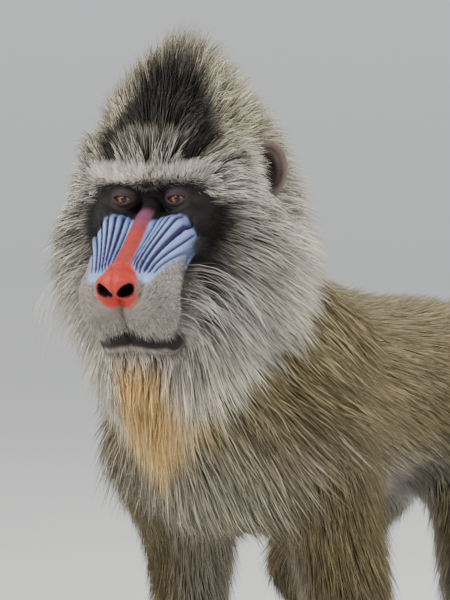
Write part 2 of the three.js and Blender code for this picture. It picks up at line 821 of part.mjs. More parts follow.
// The hair's outline seen from the front of the face: [degrees above the level, reach] about a centre.
const hairCentre = -20;
const hairReach = [
  [-90, 238],
  [-83, 202],
  [-70, 176],
  [-51, 152],
  [-25, 139],
  [-10, 131],
  [22, 129],
  [36, 132],
  [52, 134],
  [71, 143],
  [90, 185],
];
const ruffTiers = [
  { y: 4, share: 0.84, tipY: 24, from: -52, to: 34, count: 7, crest: [], bow: 4 },
  { y: 36, share: 1, tipY: 54, from: -64, to: 58, count: 10, crest: [72, 90], bow: 6 },
  { y: 74, share: 1, tipY: 104, from: -28, to: 58, count: 7, crest: [71, 80.5, 90], bow: 7 },
];
for (const tier of ruffTiers) {
  const sides = Array.from({ length: tier.count }, (_, i) =>
    lerp(tier.from, tier.to, i / (tier.count - 1)),
  );
  for (const s of [1, -1]) {
    for (const angle of [...sides.map((a) => a + draw(-2, 2)), ...tier.crest]) {
      if (s < 0 && angle === 90) continue;
      const a = radians(angle);
      const out = [s * Math.cos(a), 0, Math.sin(a)];
      const centre = [0, tier.y, hairCentre];
      const share = tier.share * (tier.y < 50 ? 1 - 0.14 * ease(40, 75, angle) : 1);
      const full = along(hairReach, angle) * share * draw(0.98, 1.03);
      const wide = draw(29, 34);
      growLock("head", (k) => {
        const start = reach(coatedHead, -9, centre, out);
        const from = add(start, out, -7);
        const back = tier.tipY + 8 * k;
        const far = add([0, back, hairCentre], out, full * (1 - 0.04 * k));
        const droop = Math.max(0, Math.cos(a)) * (12 + 4 * k);
        const tip = add(far, [0, 0, -droop]);
        const bend = add(mix(from, tip, 0.5), [out[0] * 12, -tier.bow, 8 + out[2] * 8]);
        const facing = [s * 0.3 * Math.cos(a), -1, 0.3];
        return [...[from, bend, tip].map(toBody), turned(facing), wide, 9];
      });
    }
  }
}

// Beard: rows of [root y, root z, root half width, tip y, lowest tip, tip half width, count].
for (const [y, z, wide, tipY, tipZ, tipWide, count] of [
  [-38, -122, 17, -34, -180, 26, 4],
  [-14, -118, 27, -10, -222, 42, 5],
  [10, -112, 36, 14, -252, 62, 7],
]) {
  for (let i = 0; i < count; i++) {
    const side = (i / (count - 1)) * 2 - 1;
    growLock("lower_jaw", (k) => {
      const from = [side * wide, y, z];
      const tip = [
        side * tipWide,
        tipY + draw(-4, 4) - 3 * k,
        lerp(tipZ, tipZ + tipWide * 1.5, Math.abs(side)) + draw(-6, 6) + 8 * k,
      ];
      const bend = add(mix(from, tip, 0.45), [side * 12, -8, 6]);
      return [...[from, bend, tip].map(toBody), turned([side * 0.6, -1, 0]), 27, 10];
    });
  }
}

// Rows of combed hair: each root is found by a ray, and the lock then lies along the flow and is
// lifted until it is clear of all the flesh under it.
function combed(owner, origin, direction, flow, { length, width, thickness, sink = 7, lift }) {
  growLock(owner, (k) => {
    const surface = reach(skins[owner], 0, origin, unit(direction));
    const normal = slopeOf(skins[owner], surface);
    const along2 = unit(sub(flow, add([0, 0, 0], normal, dot(flow, normal) * 0.8)));
    const from = add(surface, normal, -sink);
    const reachOut = length * (1 - 0.08 * k);
    const middle = add(add(surface, along2, reachOut * 0.5), normal, lift + 5 + 3 * k);
    const end = add(add(surface, along2, reachOut), normal, lift * 0.3);
    const tip = clearOf(end, lift + 3 * k);
    const bend = add(clearOf(middle, lift + 6 + 3 * k), normal, 2);
    return [from, bend, tip, normal, width, thickness];
  });
}

// The back of the head, from the crown down to the nape.
for (const [pitch, count, spread, long] of [
  [62, 3, 40, 74],
  [34, 5, 62, 70],
  [8, 6, 74, 66],
]) {
  const origin = toBody([0, 80, 20]);
  for (let i = 0; i < count; i++) {
    const side = radians(lerp(-spread, spread, i / (count - 1)));
    const rise = radians(pitch);
    const d = turned([Math.sin(side) * Math.cos(rise), Math.cos(side) * Math.cos(rise), Math.sin(rise)]);
    const flow = turned([Math.sin(side) * 0.5, 0.8, -0.5]);
    combed("head", origin, d, flow, { length: long, width: 40, thickness: 10, lift: 7 });
  }
}

// The mantle round the neck, falling back and down over the shoulders.
const neckAxis = unit(sub([8, -286, 566], [0, -205, 440]));
for (const [t, count, long] of [
  [0.06, 15, 100],
  [0.42, 15, 96],
  [0.78, 13, 92],
]) {
  const origin = mix([0, -205, 440], [8, -286, 566], t);
  const side = unit(cross(neckAxis, [0, -1, 0]));
  const rise = cross(side, neckAxis);
  for (let i = 0; i < count; i++) {
    const a = ((i + t * 2) / count) * 2 * Math.PI;
    const d = add(add([0, 0, 0], side, Math.cos(a)), rise, Math.sin(a));
    const flow = [d[0] * 0.5, 0.55 + d[1] * 0.2, -0.62];
    const length = long * draw(0.94, 1.06);
    const lift = 9 + 18 * Math.cos(a) ** 2;
    combed("neck", origin, d, flow, { length, width: 44, thickness: 10, lift });
  }
}

// The coat of the trunk, in rows from the shoulders to the loins.
for (let row = 0; row < 4; row++) {
  const y = -120 + row * 72;
  const count = 8;
  for (let i = 0; i < count; i++) {
    const a = radians(lerp(-38, 218, (i + (row % 2) * 0.5) / (count - 0.5)));
    const d = [Math.cos(a), 0.1, Math.sin(a)];
    const flow = [0, 0.9, -0.5 * Math.abs(Math.cos(a))];
    const length = lerp(92, 74, row / 3) * draw(0.94, 1.06);
    combed("torso", [0, y, 415], d, flow, { length, width: 54, thickness: 9, lift: 7 });
  }
}

// Fringes down the backs of the limbs.
for (const side of ["left", "right"]) {
  const { s, shoulder, elbow, wrist } = armOf(side);
  const { hip, knee } = legOf(side);
  const fringe = (owner, a, b, places, turns, options) => {
    for (const t of places) {
      for (const turn of turns) {
        const d = [s * Math.sin(radians(turn)), Math.cos(radians(turn)), 0];
        const flow = [s * 0.1 * d[0], 0.35 * d[1], -1];
        combed(owner, mix(a, b, t), d, flow, options);
      }
    }
  };
  fringe("upper_arm_" + side, shoulder, elbow, [0.4, 0.75], [5, 55, 105], {
    length: 80,
    width: 40,
    thickness: 9,
    lift: 14,
  });
  fringe("forearm_" + side, elbow, wrist, [0.2, 0.5], [0, 60], {
    length: 62,
    width: 28,
    thickness: 8,
    lift: 3,
  });
  fringe("thigh_" + side, hip, knee, [0.35, 0.7], [0, 50, 100], {
    length: 68,
    width: 38,
    thickness: 9,
    lift: 4,
  });
}

for (const [name, core] of Object.entries(cores)) {
  const whole = locks[name] ? largest(join([core, ...locks[name]])) : core;
  const colour = name.startsWith("eye")
    ? colours.eye
    : name.startsWith("ear")
      ? colours.ear
      : /hand|foot/.test(name)
        ? colours.skin
        : colours.coat;
  place(name, whole, colour);
}

export default group;
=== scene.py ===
import math
import time
from functools import partial

import bmesh
import bpy
import numpy as np
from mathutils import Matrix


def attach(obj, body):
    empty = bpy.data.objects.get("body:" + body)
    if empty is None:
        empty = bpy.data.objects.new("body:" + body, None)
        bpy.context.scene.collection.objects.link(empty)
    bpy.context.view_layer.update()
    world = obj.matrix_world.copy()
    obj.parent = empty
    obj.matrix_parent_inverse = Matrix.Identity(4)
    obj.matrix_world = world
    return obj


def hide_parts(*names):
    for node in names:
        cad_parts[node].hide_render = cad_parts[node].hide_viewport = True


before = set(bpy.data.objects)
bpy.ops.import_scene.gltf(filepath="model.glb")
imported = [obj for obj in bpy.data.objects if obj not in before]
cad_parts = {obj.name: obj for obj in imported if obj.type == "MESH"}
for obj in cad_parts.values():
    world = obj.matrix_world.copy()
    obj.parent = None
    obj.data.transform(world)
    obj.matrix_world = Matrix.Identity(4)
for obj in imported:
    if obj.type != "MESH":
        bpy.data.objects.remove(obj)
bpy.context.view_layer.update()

import openvdb
from mathutils import Vector

startTime = time.time()
mm = 0.001
standShift = np.array((1.0, 81.0, 0.0), np.float32)  # the forms below stand this far from the frame's origin
sides = ((1, "Left"), (-1, "Right"))  # the animal's own left and right


def report(stage):
    print(f"mandrill: {stage}, {time.time() - startTime:.0f} s")


def addObject(name, data):
    made = bpy.data.objects.new(name, data)
    bpy.context.collection.objects.link(made)
    return made


# Helpers for nodes and materials
def addNode(tree, kind, inputs=None, **settings):
    made = tree.nodes.new(kind)
    for name, value in settings.items():
        setattr(made, name, value)
    for key, value in (inputs or {}).items():
        socket = made.inputs[key]
        if isinstance(value, bpy.types.NodeSocket):
            tree.links.new(value, socket)
        else:
            socket.default_value = value
    return made


def firstOutput(made):
    return next(o for o in made.outputs if o.enabled)


def newMaterial(name):
    material = bpy.data.materials.new(name)
    material.use_nodes = True
    return material, material.node_tree, material.node_tree.nodes["Principled BSDF"]


def attributeOf(tree, name, output="Color"):
    return addNode(tree, "ShaderNodeAttribute", attribute_name=name).outputs[output]


def shaderMath(tree, op, a, b=0.0):
    return addNode(tree, "ShaderNodeMath", {0: a, 1: b}, operation=op).outputs[0]


def noiseOf(tree, place, scale, detail):
    made = addNode(tree, "ShaderNodeTexNoise", {"Vector": place, "Scale": scale, "Detail": detail})
    return made.outputs["Fac"]


def mixColours(tree, share, a, b, blendType="MIX"):
    made = addNode(tree, "ShaderNodeMix", {0: share, 6: a, 7: b}, data_type="RGBA", blend_type=blendType)
    return made.outputs[2]


def greyOf(tree, value):
    return addNode(tree, "ShaderNodeCombineXYZ", {0: value, 1: value, 2: value}).outputs[0]


def rampOf(tree, factor, stops):
    # a ramp of greys: (place, value) pairs
    ramp = tree.nodes.new("ShaderNodeValToRGB")
    elements = ramp.color_ramp.elements
    elements[0].position, elements[1].position = stops[0][0], stops[-1][0]
    elements[0].color, elements[1].color = ((v, v, v, 1) for _, v in (stops[0], stops[-1]))
    for place, v in stops[1:-1]:
        elements.new(place).color = (v, v, v, 1)
    tree.links.new(factor, ramp.inputs[0])
    return ramp.outputs["Color"]


# Camera, floor and light
view = {
    "camera": (1.0898, -1.7539, 0.5544),
    "target": (0.0834, -0.2618, 0.5230),
    "lens": 123.0,
    "sensor": 36.0,
    "clipStart": 0.05,
    "floorSize": 70.0,
    "floorDrop": 0.0005,  # keeps the floor just under the soles
    "floorColour": (0.80, 0.79, 0.77, 1),
    "floorRoughness": 0.85,
    "skyColour": (0.88, 0.90, 0.93, 1),
    "horizonColour": (0.70, 0.71, 0.715, 1),
    "horizonRise": 0.35,
    "worldStrength": 0.82,
}
lamps = {
    "keyLight": {"at": (-0.9, -3.0, 2.4), "size": 1.0, "watts": 105, "colour": (1.0, 0.96, 0.91)},
    "fillLight": {"at": (3.0, -1.7, 1.2), "size": 2.4, "watts": 16, "colour": (0.90, 0.95, 1.0)},
    "rimLight": {"at": (1.7, 2.3, 2.4), "size": 1.5, "watts": 85, "colour": (1.0, 0.98, 0.95)},
}


def aimAt(thing, target):
    away = Vector(target) - thing.location
    thing.rotation_euler = away.to_track_quat("-Z", "Y").to_euler()


def makeStudio():
    cameraData = bpy.data.cameras.new("camera")
    cameraData.lens = view["lens"]
    cameraData.sensor_width = view["sensor"]
    cameraData.clip_start = view["clipStart"]
    camera = addObject("camera", cameraData)
    camera.location = view["camera"]
    aimAt(camera, view["target"])
    bpy.context.scene.camera = camera

    half = view["floorSize"] / 2
    corners = [(-half, -half, 0), (half, -half, 0), (half, half, 0), (-half, half, 0)]
    floorMesh = bpy.data.meshes.new("floor")
    floorMesh.from_pydata(corners, [], [(0, 1, 2, 3)])
    floor = addObject("floor", floorMesh)
    floor.location.z = -view["floorDrop"]
    material, _, shader = newMaterial("studioFloor")
    shader.inputs["Base Color"].default_value = view["floorColour"]
    shader.inputs["Roughness"].default_value = view["floorRoughness"]
    floorMesh.materials.append(material)

    world = bpy.data.worlds.new("studio")
    world.use_nodes = True
    tree = world.node_tree
    background = tree.nodes["Background"]
    direction = addNode(tree, "ShaderNodeTexCoord").outputs["Generated"]
    rise = addNode(tree, "ShaderNodeSeparateXYZ", {0: direction}).outputs[2]
    share = addNode(tree, "ShaderNodeMapRange", {"Value": rise, "From Max": view["horizonRise"]}).outputs[0]
    sky = mixColours(tree, share, view["horizonColour"], view["skyColour"])
    tree.links.new(sky, background.inputs["Color"])
    background.inputs["Strength"].default_value = view["worldStrength"]
    bpy.context.scene.world = world
    for name, lamp in lamps.items():
        lampData = bpy.data.lights.new(name, "AREA")
        lampData.energy = lamp["watts"]
        lampData.size = lamp["size"]
        lampData.color = lamp["colour"]
        light = addObject(name, lampData)
        light.location = lamp["at"]
        aimAt(light, view["target"])


# Fields: each takes points in millimetres, one a row, and gives their distance from a form
def bar(p, a, b, ra, rb=None):
    rb = ra if rb is None else rb
    a = np.asarray(a, np.float32)
    ab = np.asarray(b, np.float32) - a
    t = np.clip((p - a) @ ab / (ab @ ab), 0, 1)
    away = p - a - t[:, None] * ab
    return np.sqrt(np.einsum("ij,ij->i", away, away)) - (ra + (rb - ra) * t)


def egg(p, centre, radii, pitch=0):
    d = p - np.asarray(centre, np.float32)
    c, s = math.cos(math.radians(pitch)), math.sin(math.radians(pitch))
    x, y, z = d[:, 0], c * d[:, 1] + s * d[:, 2], -s * d[:, 1] + c * d[:, 2]
    rx, ry, rz = radii
    k0 = np.sqrt((x / rx) ** 2 + (y / ry) ** 2 + (z / rz) ** 2)
    k1 = np.sqrt((x / rx**2) ** 2 + (y / ry**2) ** 2 + (z / rz**2) ** 2)
    return k0 * (k0 - 1) / np.maximum(k1, 1e-6)


def softMin(a, b, k):
    if k <= 0:
        return np.minimum(a, b)
    h = np.maximum(k - np.abs(a - b), 0) / k
    return np.minimum(a, b) - h * h * k / 4


def softMax(a, b, k):
    return -softMin(-a, -b, k)


def ease(lo, hi, x):
    t = np.clip((x - lo) / (hi - lo), 0, 1)
    return t * t * (3 - 2 * t)


def lerp(a, b, t):
    return a + (b - a) * t


def along(pairs, x):
    return np.interp(x, [a for a, _ in pairs], [b for _, b in pairs])


# Each form is (shape, its sizes, blend); a blend below zero carves the form out
def sculpt(p, forms):
    d = None
    for shape, sizes, soft in forms:
        f = shape(p, *sizes)
        if d is None:
            d = f
        elif soft < 0:
            d = softMax(d, -f, -soft)
        else:
            d = softMin(d, f, soft)
    return d


def mirrored(p):
    return np.column_stack((np.abs(p[:, 0]), p[:, 1], p[:, 2]))


def unit(v):
    return v / np.maximum(np.linalg.norm(v, axis=-1, keepdims=True), 1e-9)


def columns(*values):
    return np.column_stack(np.broadcast_arrays(*values))


# The head stands in its own frame: the origin is between the eyes, -Y is forward
head = {
    "origin": np.array((29.0, -377.0, 612.0), np.float32),
    "yaw": math.radians(15),
    "slope": math.radians(40),
    "eyeSpread": 25.0,
    "eyeRadius": 11.5,
}
lids = {
    "radius": 13.7,
    "halfWidth": 8.3,
    "upper": 1.9,
    "lower": 3.3,
    "slant": 0.09,
    "creaseDepth": 0.5,  # the fold over the eye
    "underDepth": 0.6,  # the fold under it
}
# The mouth, in the muzzle's own measures: where the lips meet, and how they roll either side of it
mouth = {
    "height": -50.5,
    "sideDrop": 10,
    "cornerDrop": 9,
    "half": 1.2,
    "depth": 8,
    "lipRoll": 1.5,
    "lipPlace": 3.6,
    "lipWidth": 2.3,
    "ends": (76, 96),
    "slitBack": 88,
}
nostrils = {"at": (9.4, 119, -4.5), "turn": 0.6, "radii": (7.6, 14, 4.9)}
yawCos, yawSin = math.cos(head["yaw"]), math.sin(head["yaw"])
headTurn = np.array(((yawCos, yawSin, 0), (-yawSin, yawCos, 0), (0, 0, 1)), np.float32)
slopeCos, slopeSin = math.cos(head["slope"]), math.sin(head["slope"])


def toHead(p):
    return (p - head["origin"]) @ headTurn.T


def turnFromHead(v):
    return v @ headTurn


def fromHead(q):
    return turnFromHead(q) + head["origin"]


# A point of the muzzle: x across, s along it from the eyes, h above its top line
def onMuzzle(x, s, h):
    return (x, -slopeCos * s - slopeSin * h, -slopeSin * s + slopeCos * h)


def muzzlePlace(q):
    return (
        np.abs(q[:, 0]),
        -slopeCos * q[:, 1] - slopeSin * q[:, 2],
        -slopeSin * q[:, 1] + slopeCos * q[:, 2],
    )


headForms = [
    (egg, ((0, 72, 14), (62, 74, 54)), 0),
    (egg, ((0, 84, 60), (34, 58, 34)), 26),
    (bar, ((0, 62, -24), (0, -18, -66), 46, 30), 10),
    (bar, ((0, -11, 20), (46, 0, 19), 12, 10), 12),
    (egg, ((42, 36, 4), (22, 36, 32)), 20),
    (bar, ((38, -5, -19), (60, 42, -14), 12, 14), 16),
    (egg, ((44, 44, -50), (25, 36, 46)), 24),
    (bar, (onMuzzle(15, 34, -25), onMuzzle(19, 98, -25), 25, 24), 14),
    (egg, (onMuzzle(17, 103, -37), (23.5, 21, 18), 40), 10),
    (egg, (onMuzzle(22, 97, -48), (16.5, 21, 19), 40), 10),
    (bar, (onMuzzle(0, 8, -5), onMuzzle(0, 106, -4), 8, 9), 8),
    (bar, (onMuzzle(13, 92, -3), onMuzzle(27, 34, -8), 9, 13), 5),
    (bar, (onMuzzle(25, 86, -12), onMuzzle(41, 38, -20), 8, 10), 7),
    (egg, (onMuzzle(0, 111, -5), (19, 12, 13), 40), 5),
    (egg, (onMuzzle(13, 111, -9), (9, 10, 9), 40), 3),
    (bar, (onMuzzle(9, 106, -70), (40, 52, -86), 18, 22), 12),
    (egg, (onMuzzle(20, 98, -78), (17, 20, 13), 40), 8),
    (bar, ((0, -28, -112), (0, 55, -92), 24, 32), 14),
    (egg, ((26, -23, 0), (16, 13, 11)), -7),
]
# Furrows fan up each ridge from beside the nose and bend outwards: x at the low end, x at the high end, depth
furrows = {
    "low": 103.0,
    "high": 27.0,
    "half": 1.4,
    "bend": 1.35,
    "lines": [
        (8.4, 12.5, 1.8),
        (11.0, 18.5, 2.5),
        (13.8, 25.5, 2.8),
        (16.8, 33.0, 2.9),
        (20.0, 41.0, 2.7),
        (23.4, 49.5, 2.4),
        (27.2, 58.0, 1.8),
    ],
}


def furrowDepth(x, s, h):
    t = np.clip((furrows["low"] - s) / (furrows["low"] - furrows["high"]), 0, 1.2)
    total = np.zeros_like(x)
    for low, high, depth in furrows["lines"]:
        middle = low + (high - low) * t ** furrows["bend"]
        fade = ease(-0.02, 0.14, t) * ease(1.16, 1.0, t)
        total = np.maximum(total, depth * fade * np.exp(-(((x - middle) / furrows["half"]) ** 2)))
    return total * ease(-38, -28, h)


def mouthLine(x):
    # how high the lips meet: level over the front teeth, and falling to the corners
    return mouth["height"] - mouth["sideDrop"] * ease(6, 34, x) - mouth["cornerDrop"] * ease(27, 37, x)


def nostrilField(q):
    x, y, z = (np.abs(q[:, 0]), q[:, 1], q[:, 2])
    cx, cy, cz = onMuzzle(*nostrils["at"])
    dx, dy, dz = x - cx, y - cy, z - cz
    c, s = math.cos(nostrils["turn"]), math.sin(nostrils["turn"])
    x1, z1 = c * dx + s * dz, -s * dx + c * dz
    y2, z2 = slopeCos * dy + slopeSin * z1, -slopeSin * dy + slopeCos * z1
    return egg(np.column_stack((x1, y2, z2)), (0, 0, 0), nostrils["radii"])


def headField(q):
    m = mirrored(q)
    d = sculpt(m, headForms)
    x, s, h = muzzlePlace(q)
    # lids: a thicker ball over the eye, opened by an almond
    fromEye = m - np.array((head["eyeSpread"], 1, 0), np.float32)
    dx, dz = fromEye[:, 0], fromEye[:, 2] - lids["slant"] * fromEye[:, 0]
    ball = np.linalg.norm(fromEye, axis=1)
    d = softMin(d, ball - lids["radius"], 4)
    arch = np.maximum(1 - (dx / lids["halfWidth"]) ** 2, -1.5)
    upper, lower = dz - lids["upper"] * arch, dz + lids["lower"] * arch
    almond = np.maximum(np.maximum(upper, -lower) * 0.8, fromEye[:, 1] + 2)
    crease = np.exp(-(((upper - 4.2) / 1.1) ** 2)) * ease(16, 9, np.abs(dx))
    under = np.exp(-(((lower + 4.4) / 1.3) ** 2)) * ease(17, 8, np.abs(dx))
    d = d + (lids["creaseDepth"] * crease + lids["underDepth"] * under) * ease(2, -4, fromEye[:, 1])
    d = softMax(d, -almond, 0.9)
    d = np.maximum(d, head["eyeRadius"] - 0.2 - ball)
    d = d + furrowDepth(x, s, h)
    # the nose: nostrils, the groove between them and the crease round each wing
    d = softMax(d, -nostrilField(q), 1.6)
    d = d + 1.6 * np.exp(-((x / 1.5) ** 2)) * ease(106, 116, s)
    wing = np.abs(np.sqrt(((x - 11) / 11.5) ** 2 + ((s - 110) / 13.5) ** 2) - 1) * 12
    d = d + 1.2 * np.exp(-((wing / 1.5) ** 2)) * ease(-26, -16, h) * ease(12, 16, x)
    d = d + 0.7 * np.exp(-(((s - 94 - 0.02 * x * x) / 1.5) ** 2)) * ease(13, 8, x)
    # the slit of the mouth, with the lips rolled either side of it
    fromLine = h - mouthLine(x)
    mouthEnd = ease(*mouth["ends"], s)
    roll = np.exp(-(((np.abs(fromLine) - mouth["lipPlace"]) / mouth["lipWidth"]) ** 2))
    d = d - mouth["lipRoll"] * roll * mouthEnd
    slit = np.maximum(np.abs(fromLine) - mouth["half"] * mouthEnd, -mouth["depth"] - d)
    return softMax(d, -np.maximum(slit, mouth["slitBack"] - s), 0.8)


# Trunk, neck and tail
torsoForms = [
    (egg, ((0, -115, 412), (92, 150, 106), 4), 0),
    (egg, ((0, 45, 408), (80, 150, 84)), 60),
    (egg, ((0, 172, 412), (74, 92, 82)), 50),
    (bar, ((0, -185, 452), (0, 185, 438), 62, 56), 40),
    (bar, ((44, -165, 452), (64, -204, 394), 46, 46), 40),
    (egg, ((52, 168, 384), (44, 74, 84)), 40),
    (egg, ((0, -222, 368), (58, 46, 58)), 40),
    (egg, ((17, 254, 398), (14, 12, 19)), 5),
    (bar, ((0, 268, 440), (0, 264, 376), 5, 4), -5),
]
neckForms = [
    (bar, ((0, -195, 448), (8, -288, 578), 84, 56), 0),
    (bar, ((0, -225, 395), (20, -330, 530), 58, 46), 40),
    (egg, ((4, -250, 500), (84, 70, 96), 40), 30),
]
tailForms = [
    (bar, ((0, 236, 470), (0, 284, 500), 17, 13), 0),
    (bar, ((0, 284, 500), (0, 292, 548), 13, 8), 10),
]
limbs = {
    "shoulder": (86, -203, 392),
    "hip": (66, 176, 392),
    "wristHeight": 58,
    "ankleHeight": 70,
    "handSpread": 90,
    "footSpread": 80,
    "handY": {1: -264, -1: -174},
    "footY": {1: 244, -1: 186},
    "upperArm": 178,
    "forearm": 188,
    "thigh": 192,
    "shin": 196,
}


def middleJoint(top, bottom, upper, lower, towards):
    top, bottom, towards = (np.array(v, float) for v in (top, bottom, towards))
    line = bottom - top
    d = np.linalg.norm(line)
    share = (d * d + upper * upper - lower * lower) / (2 * d)
    off = math.sqrt(max(upper * upper - share * share, 0))
    axis = line / d
    side = towards - axis * (towards @ axis)
    return top + axis * share + side / np.linalg.norm(side) * off


def armJoints(side):
    x, y, z = limbs["shoulder"]
    shoulder = np.array((side * x, y, z), float)
    wrist = np.array((side * limbs["handSpread"], limbs["handY"][side], limbs["wristHeight"]), float)
    elbow = middleJoint(shoulder, wrist, limbs["upperArm"], limbs["forearm"], (side * 0.3, 1, 0))
    return shoulder, elbow, wrist


def legJoints(side):
    x, y, z = limbs["hip"]
    hip = np.array((side * x, y, z), float)
    ankle = np.array((side * limbs["footSpread"], limbs["footY"][side], limbs["ankleHeight"]), float)
    knee = middleJoint(hip, ankle, limbs["thigh"], limbs["shin"], (side * 0.25, -1, 0))
    return hip, knee, ankle


def upperArmForms(side):
    shoulder, elbow, _ = armJoints(side)
    return [
        (bar, (shoulder, elbow, 44, 29), 0),
        (egg, (shoulder + (side * 2, 6, -20), (36, 48, 62)), 24),
        (bar, (shoulder + (-side * 8, 50, -40), elbow + (0, 14, 22), 30, 22), 20),
    ]


def forearmForms(side):
    _, elbow, wrist = armJoints(side)
    return [
        (bar, (elbow, wrist, 27, 18), 0),
        (egg, (lerp(elbow, wrist, 0.25) + (0, 2, 0), (27, 31, 52)), 16),
    ]


def thighForms(side):
    hip, knee, _ = legJoints(side)
    return [
        (bar, (hip, knee, 52, 34), 0),
        (egg, (hip + (side * 4, 10, -50), (40, 70, 84), -14), 24),
    ]


def shinForms(side):
    _, knee, ankle = legJoints(side)
    return [
        (bar, (knee, ankle, 29, 17), 0),
        (egg, (lerp(knee, ankle, 0.34) + (0, 8, 4), (24, 26, 60), 38), 16),
    ]


# Digits, beside the wrist or ankle: x and y of the root and of the tip, and a radius
handDigits = [
    (-19, -46, -25, -104, 8.4),
    (-6, -50, -8, -114, 8.8),
    (8, -50, 10, -112, 8.6),
    (21, -46, 27, -98, 7.8),
]
footDigits = [
    (-10, -88, -13, -142, 8.4),
    (1, -90, 2, -152, 8.6),
    (11, -88, 15, -148, 8.2),
    (21, -84, 29, -134, 7.6),
]
# Thumb and big toe: x, y, z and radius of each joint
thumb = [(-16, -20, 30, 10), (-29, -36, 17, 8.5), (-35, -58, 6.5, 7.6), (-37, -70, 5.2, 6)]
bigToe = [(-14, -40, 18, 12), (-30, -62, 12, 10.5), (-41, -86, 7.5, 9.5), (-45, -102, 6.2, 7.5)]
digitGirth = 0.84  # flesh under the fur, as a share of the radii above
knuckleShape = (0.92, 0.9, 0.96)


def digitJoints(x0, y0, x1, y1, r, height, stops):
    low = (height, lerp(height, r - 1.5, 0.5), r - 1.5, r - 2.2)
    swell = (1.2, 0.4, -0.2, -r * 0.2)
    return [(lerp(x0, x1, t), lerp(y0, y1, t), z, r + w) for t, z, w in zip((0, *stops, 1), low, swell)]


def allDigits(kind):
    if kind == "hand":
        return [digitJoints(*d, 22, (0.42, 0.76)) for d in handDigits] + [thumb]
    return [digitJoints(*d, 14, (0.5, 0.8)) for d in footDigits] + [bigToe]


def digitField(p, joints):
    d = None
    for (x0, y0, z0, r0), (x1, y1, z1, r1) in zip(joints, joints[1:]):
        f = bar(p, (x0, y0, z0), (x1, y1, z1), r0 * digitGirth, r1 * digitGirth)
        knuckle = egg(p, (x1, y1, z1 + 0.8), tuple(r1 * share for share in knuckleShape))
        f = softMin(f, knuckle, 3)
        d = f if d is None else softMin(d, f, 2)
    return d


def localLimb(p, joint, side):
    return (p - np.array((joint[0], joint[1], 0), np.float32)) * np.array((side, 1, 1), np.float32)


def handField(p, side):
    wrist = armJoints(side)[2]
    q = localLimb(p, wrist, side)
    d = sculpt(
        q,
        [
            (bar, ((0, 0, limbs["wristHeight"]), (0, -14, 42), 20, 19), 0),
            (bar, ((-17, -44, 22), (20, -42, 21), 12, 11), 14),
            (bar, ((-8, -18, 34), (12, -18, 34), 15, 14), 12),
        ],
    )
    for x in (-15, -5, 6, 16):
        tendon = bar(q, (x * 0.5, -8, 50), (x, -46, 31), 3.2, 3.4)
        d = softMin(d, tendon, 6)
    for joints in allDigits("hand"):
        d = softMin(d, digitField(q, joints), 2.5)
    return d


def footField(p, side):
    ankle = legJoints(side)[2]
    q = localLimb(p, ankle, side)
    d = sculpt(
        q,
        [
            (bar, ((0, 0, limbs["ankleHeight"]), (0, 10, 34), 19, 20), 0),
            (bar, ((0, 24, 19), (2, -70, 17), 17, 14), 16),
            (bar, ((-18, -82, 14), (20, -80, 13), 12, 11), 14),
            (bar, ((16, 2, 64), (17, 4, 62), 7, 7), 8),
            (bar, ((-16, 2, 66), (-17, 4, 64), 7, 7), 8),
        ],
    )
    for x in (-9, 1, 10, 19):
        tendon = bar(q, (x * 0.5, -10, 38), (x, -84, 24), 3.2, 3.4)
        d = softMin(d, tendon, 6)
    for joints in allDigits("foot"):
        d = softMin(d, digitField(q, joints), 2.5)
    return d


partFields = {
    "head": lambda p: headField(toHead(p)),
    "neck": lambda p: sculpt(p, neckForms),
    "torso": lambda p: sculpt(mirrored(p), torsoForms),
    "tail": lambda p: sculpt(p, tailForms),
}
partBlend = {"head": 26, "neck": 34, "torso": 0, "tail": 12}
limbForms = {"upperArm": upperArmForms, "forearm": forearmForms, "thigh": thighForms, "shin": shinForms}
limbBlend = {"upperArm": 22, "forearm": 10, "hand": 8, "thigh": 26, "shin": 12, "foot": 8}
for side, sideName in sides:
    for part, forms in limbForms.items():
        partFields[part + sideName] = lambda p, forms=forms, side=side: sculpt(p, forms(side))
    partFields["hand" + sideName] = lambda p, side=side: handField(p, side)
    partFields["foot" + sideName] = lambda p, side=side: footField(p, side)
    partBlend.update({part + sideName: blend for part, blend in limbBlend.items()})
trunkParts = ["torso", "neck", "head", "tail"]
armParts = {s: ["upperArm" + n, "forearm" + n, "hand" + n] for s, n in sides}
legParts = {s: ["thigh" + n, "shin" + n, "foot" + n] for s, n in sides}
allParts = trunkParts + armParts[1] + armParts[-1] + legParts[1] + legParts[-1]


def fleshField(p, parts):
    d = None
    for name in parts:
        f = partFields[name](p)
        d = f if d is None else softMin(d, f, partBlend[name])
    return np.maximum(d, -p[:, 2])


# The skin is meshed as closed shells that lap inside each other, finest on the face
skinSplit = {
    "faceBack": 14.0,  # how far behind the eyes the face's shell ends
    "endHeight": 80.0,  # how high the shells of hands and feet reach
    "overlap": 5.0,
    "bodyStep": 7.8,
    "rumpStep": 4.2,
    "handStep": 2.6,
    # beside the wrist or ankle: x towards the body and away from it, y ahead and behind
    "handBox": (-48, 44, -126, 40),
    "footBox": (-58, 44, -166, 56),
}


def axis(stops):
    # stops are (place, step to the next place); the last one ends the axis
    parts = []
    for (a, step), (b, _) in zip(stops, stops[1:]):
        count = max(int(round((b - a) / step)), 1)
        parts.append(a + (b - a) * np.arange(count) / count)
    parts.append(np.array([stops[-1][0]]))
    return np.concatenate(parts).astype(np.float32)


def pointsOf(axes, mask=None):
    if mask is None:
        grid = np.meshgrid(*axes, indexing="ij")
        return np.column_stack([g.ravel() for g in grid])
    i, j, k = np.nonzero(mask)
    return np.column_stack((axes[0][i], axes[1][j], axes[2][k]))


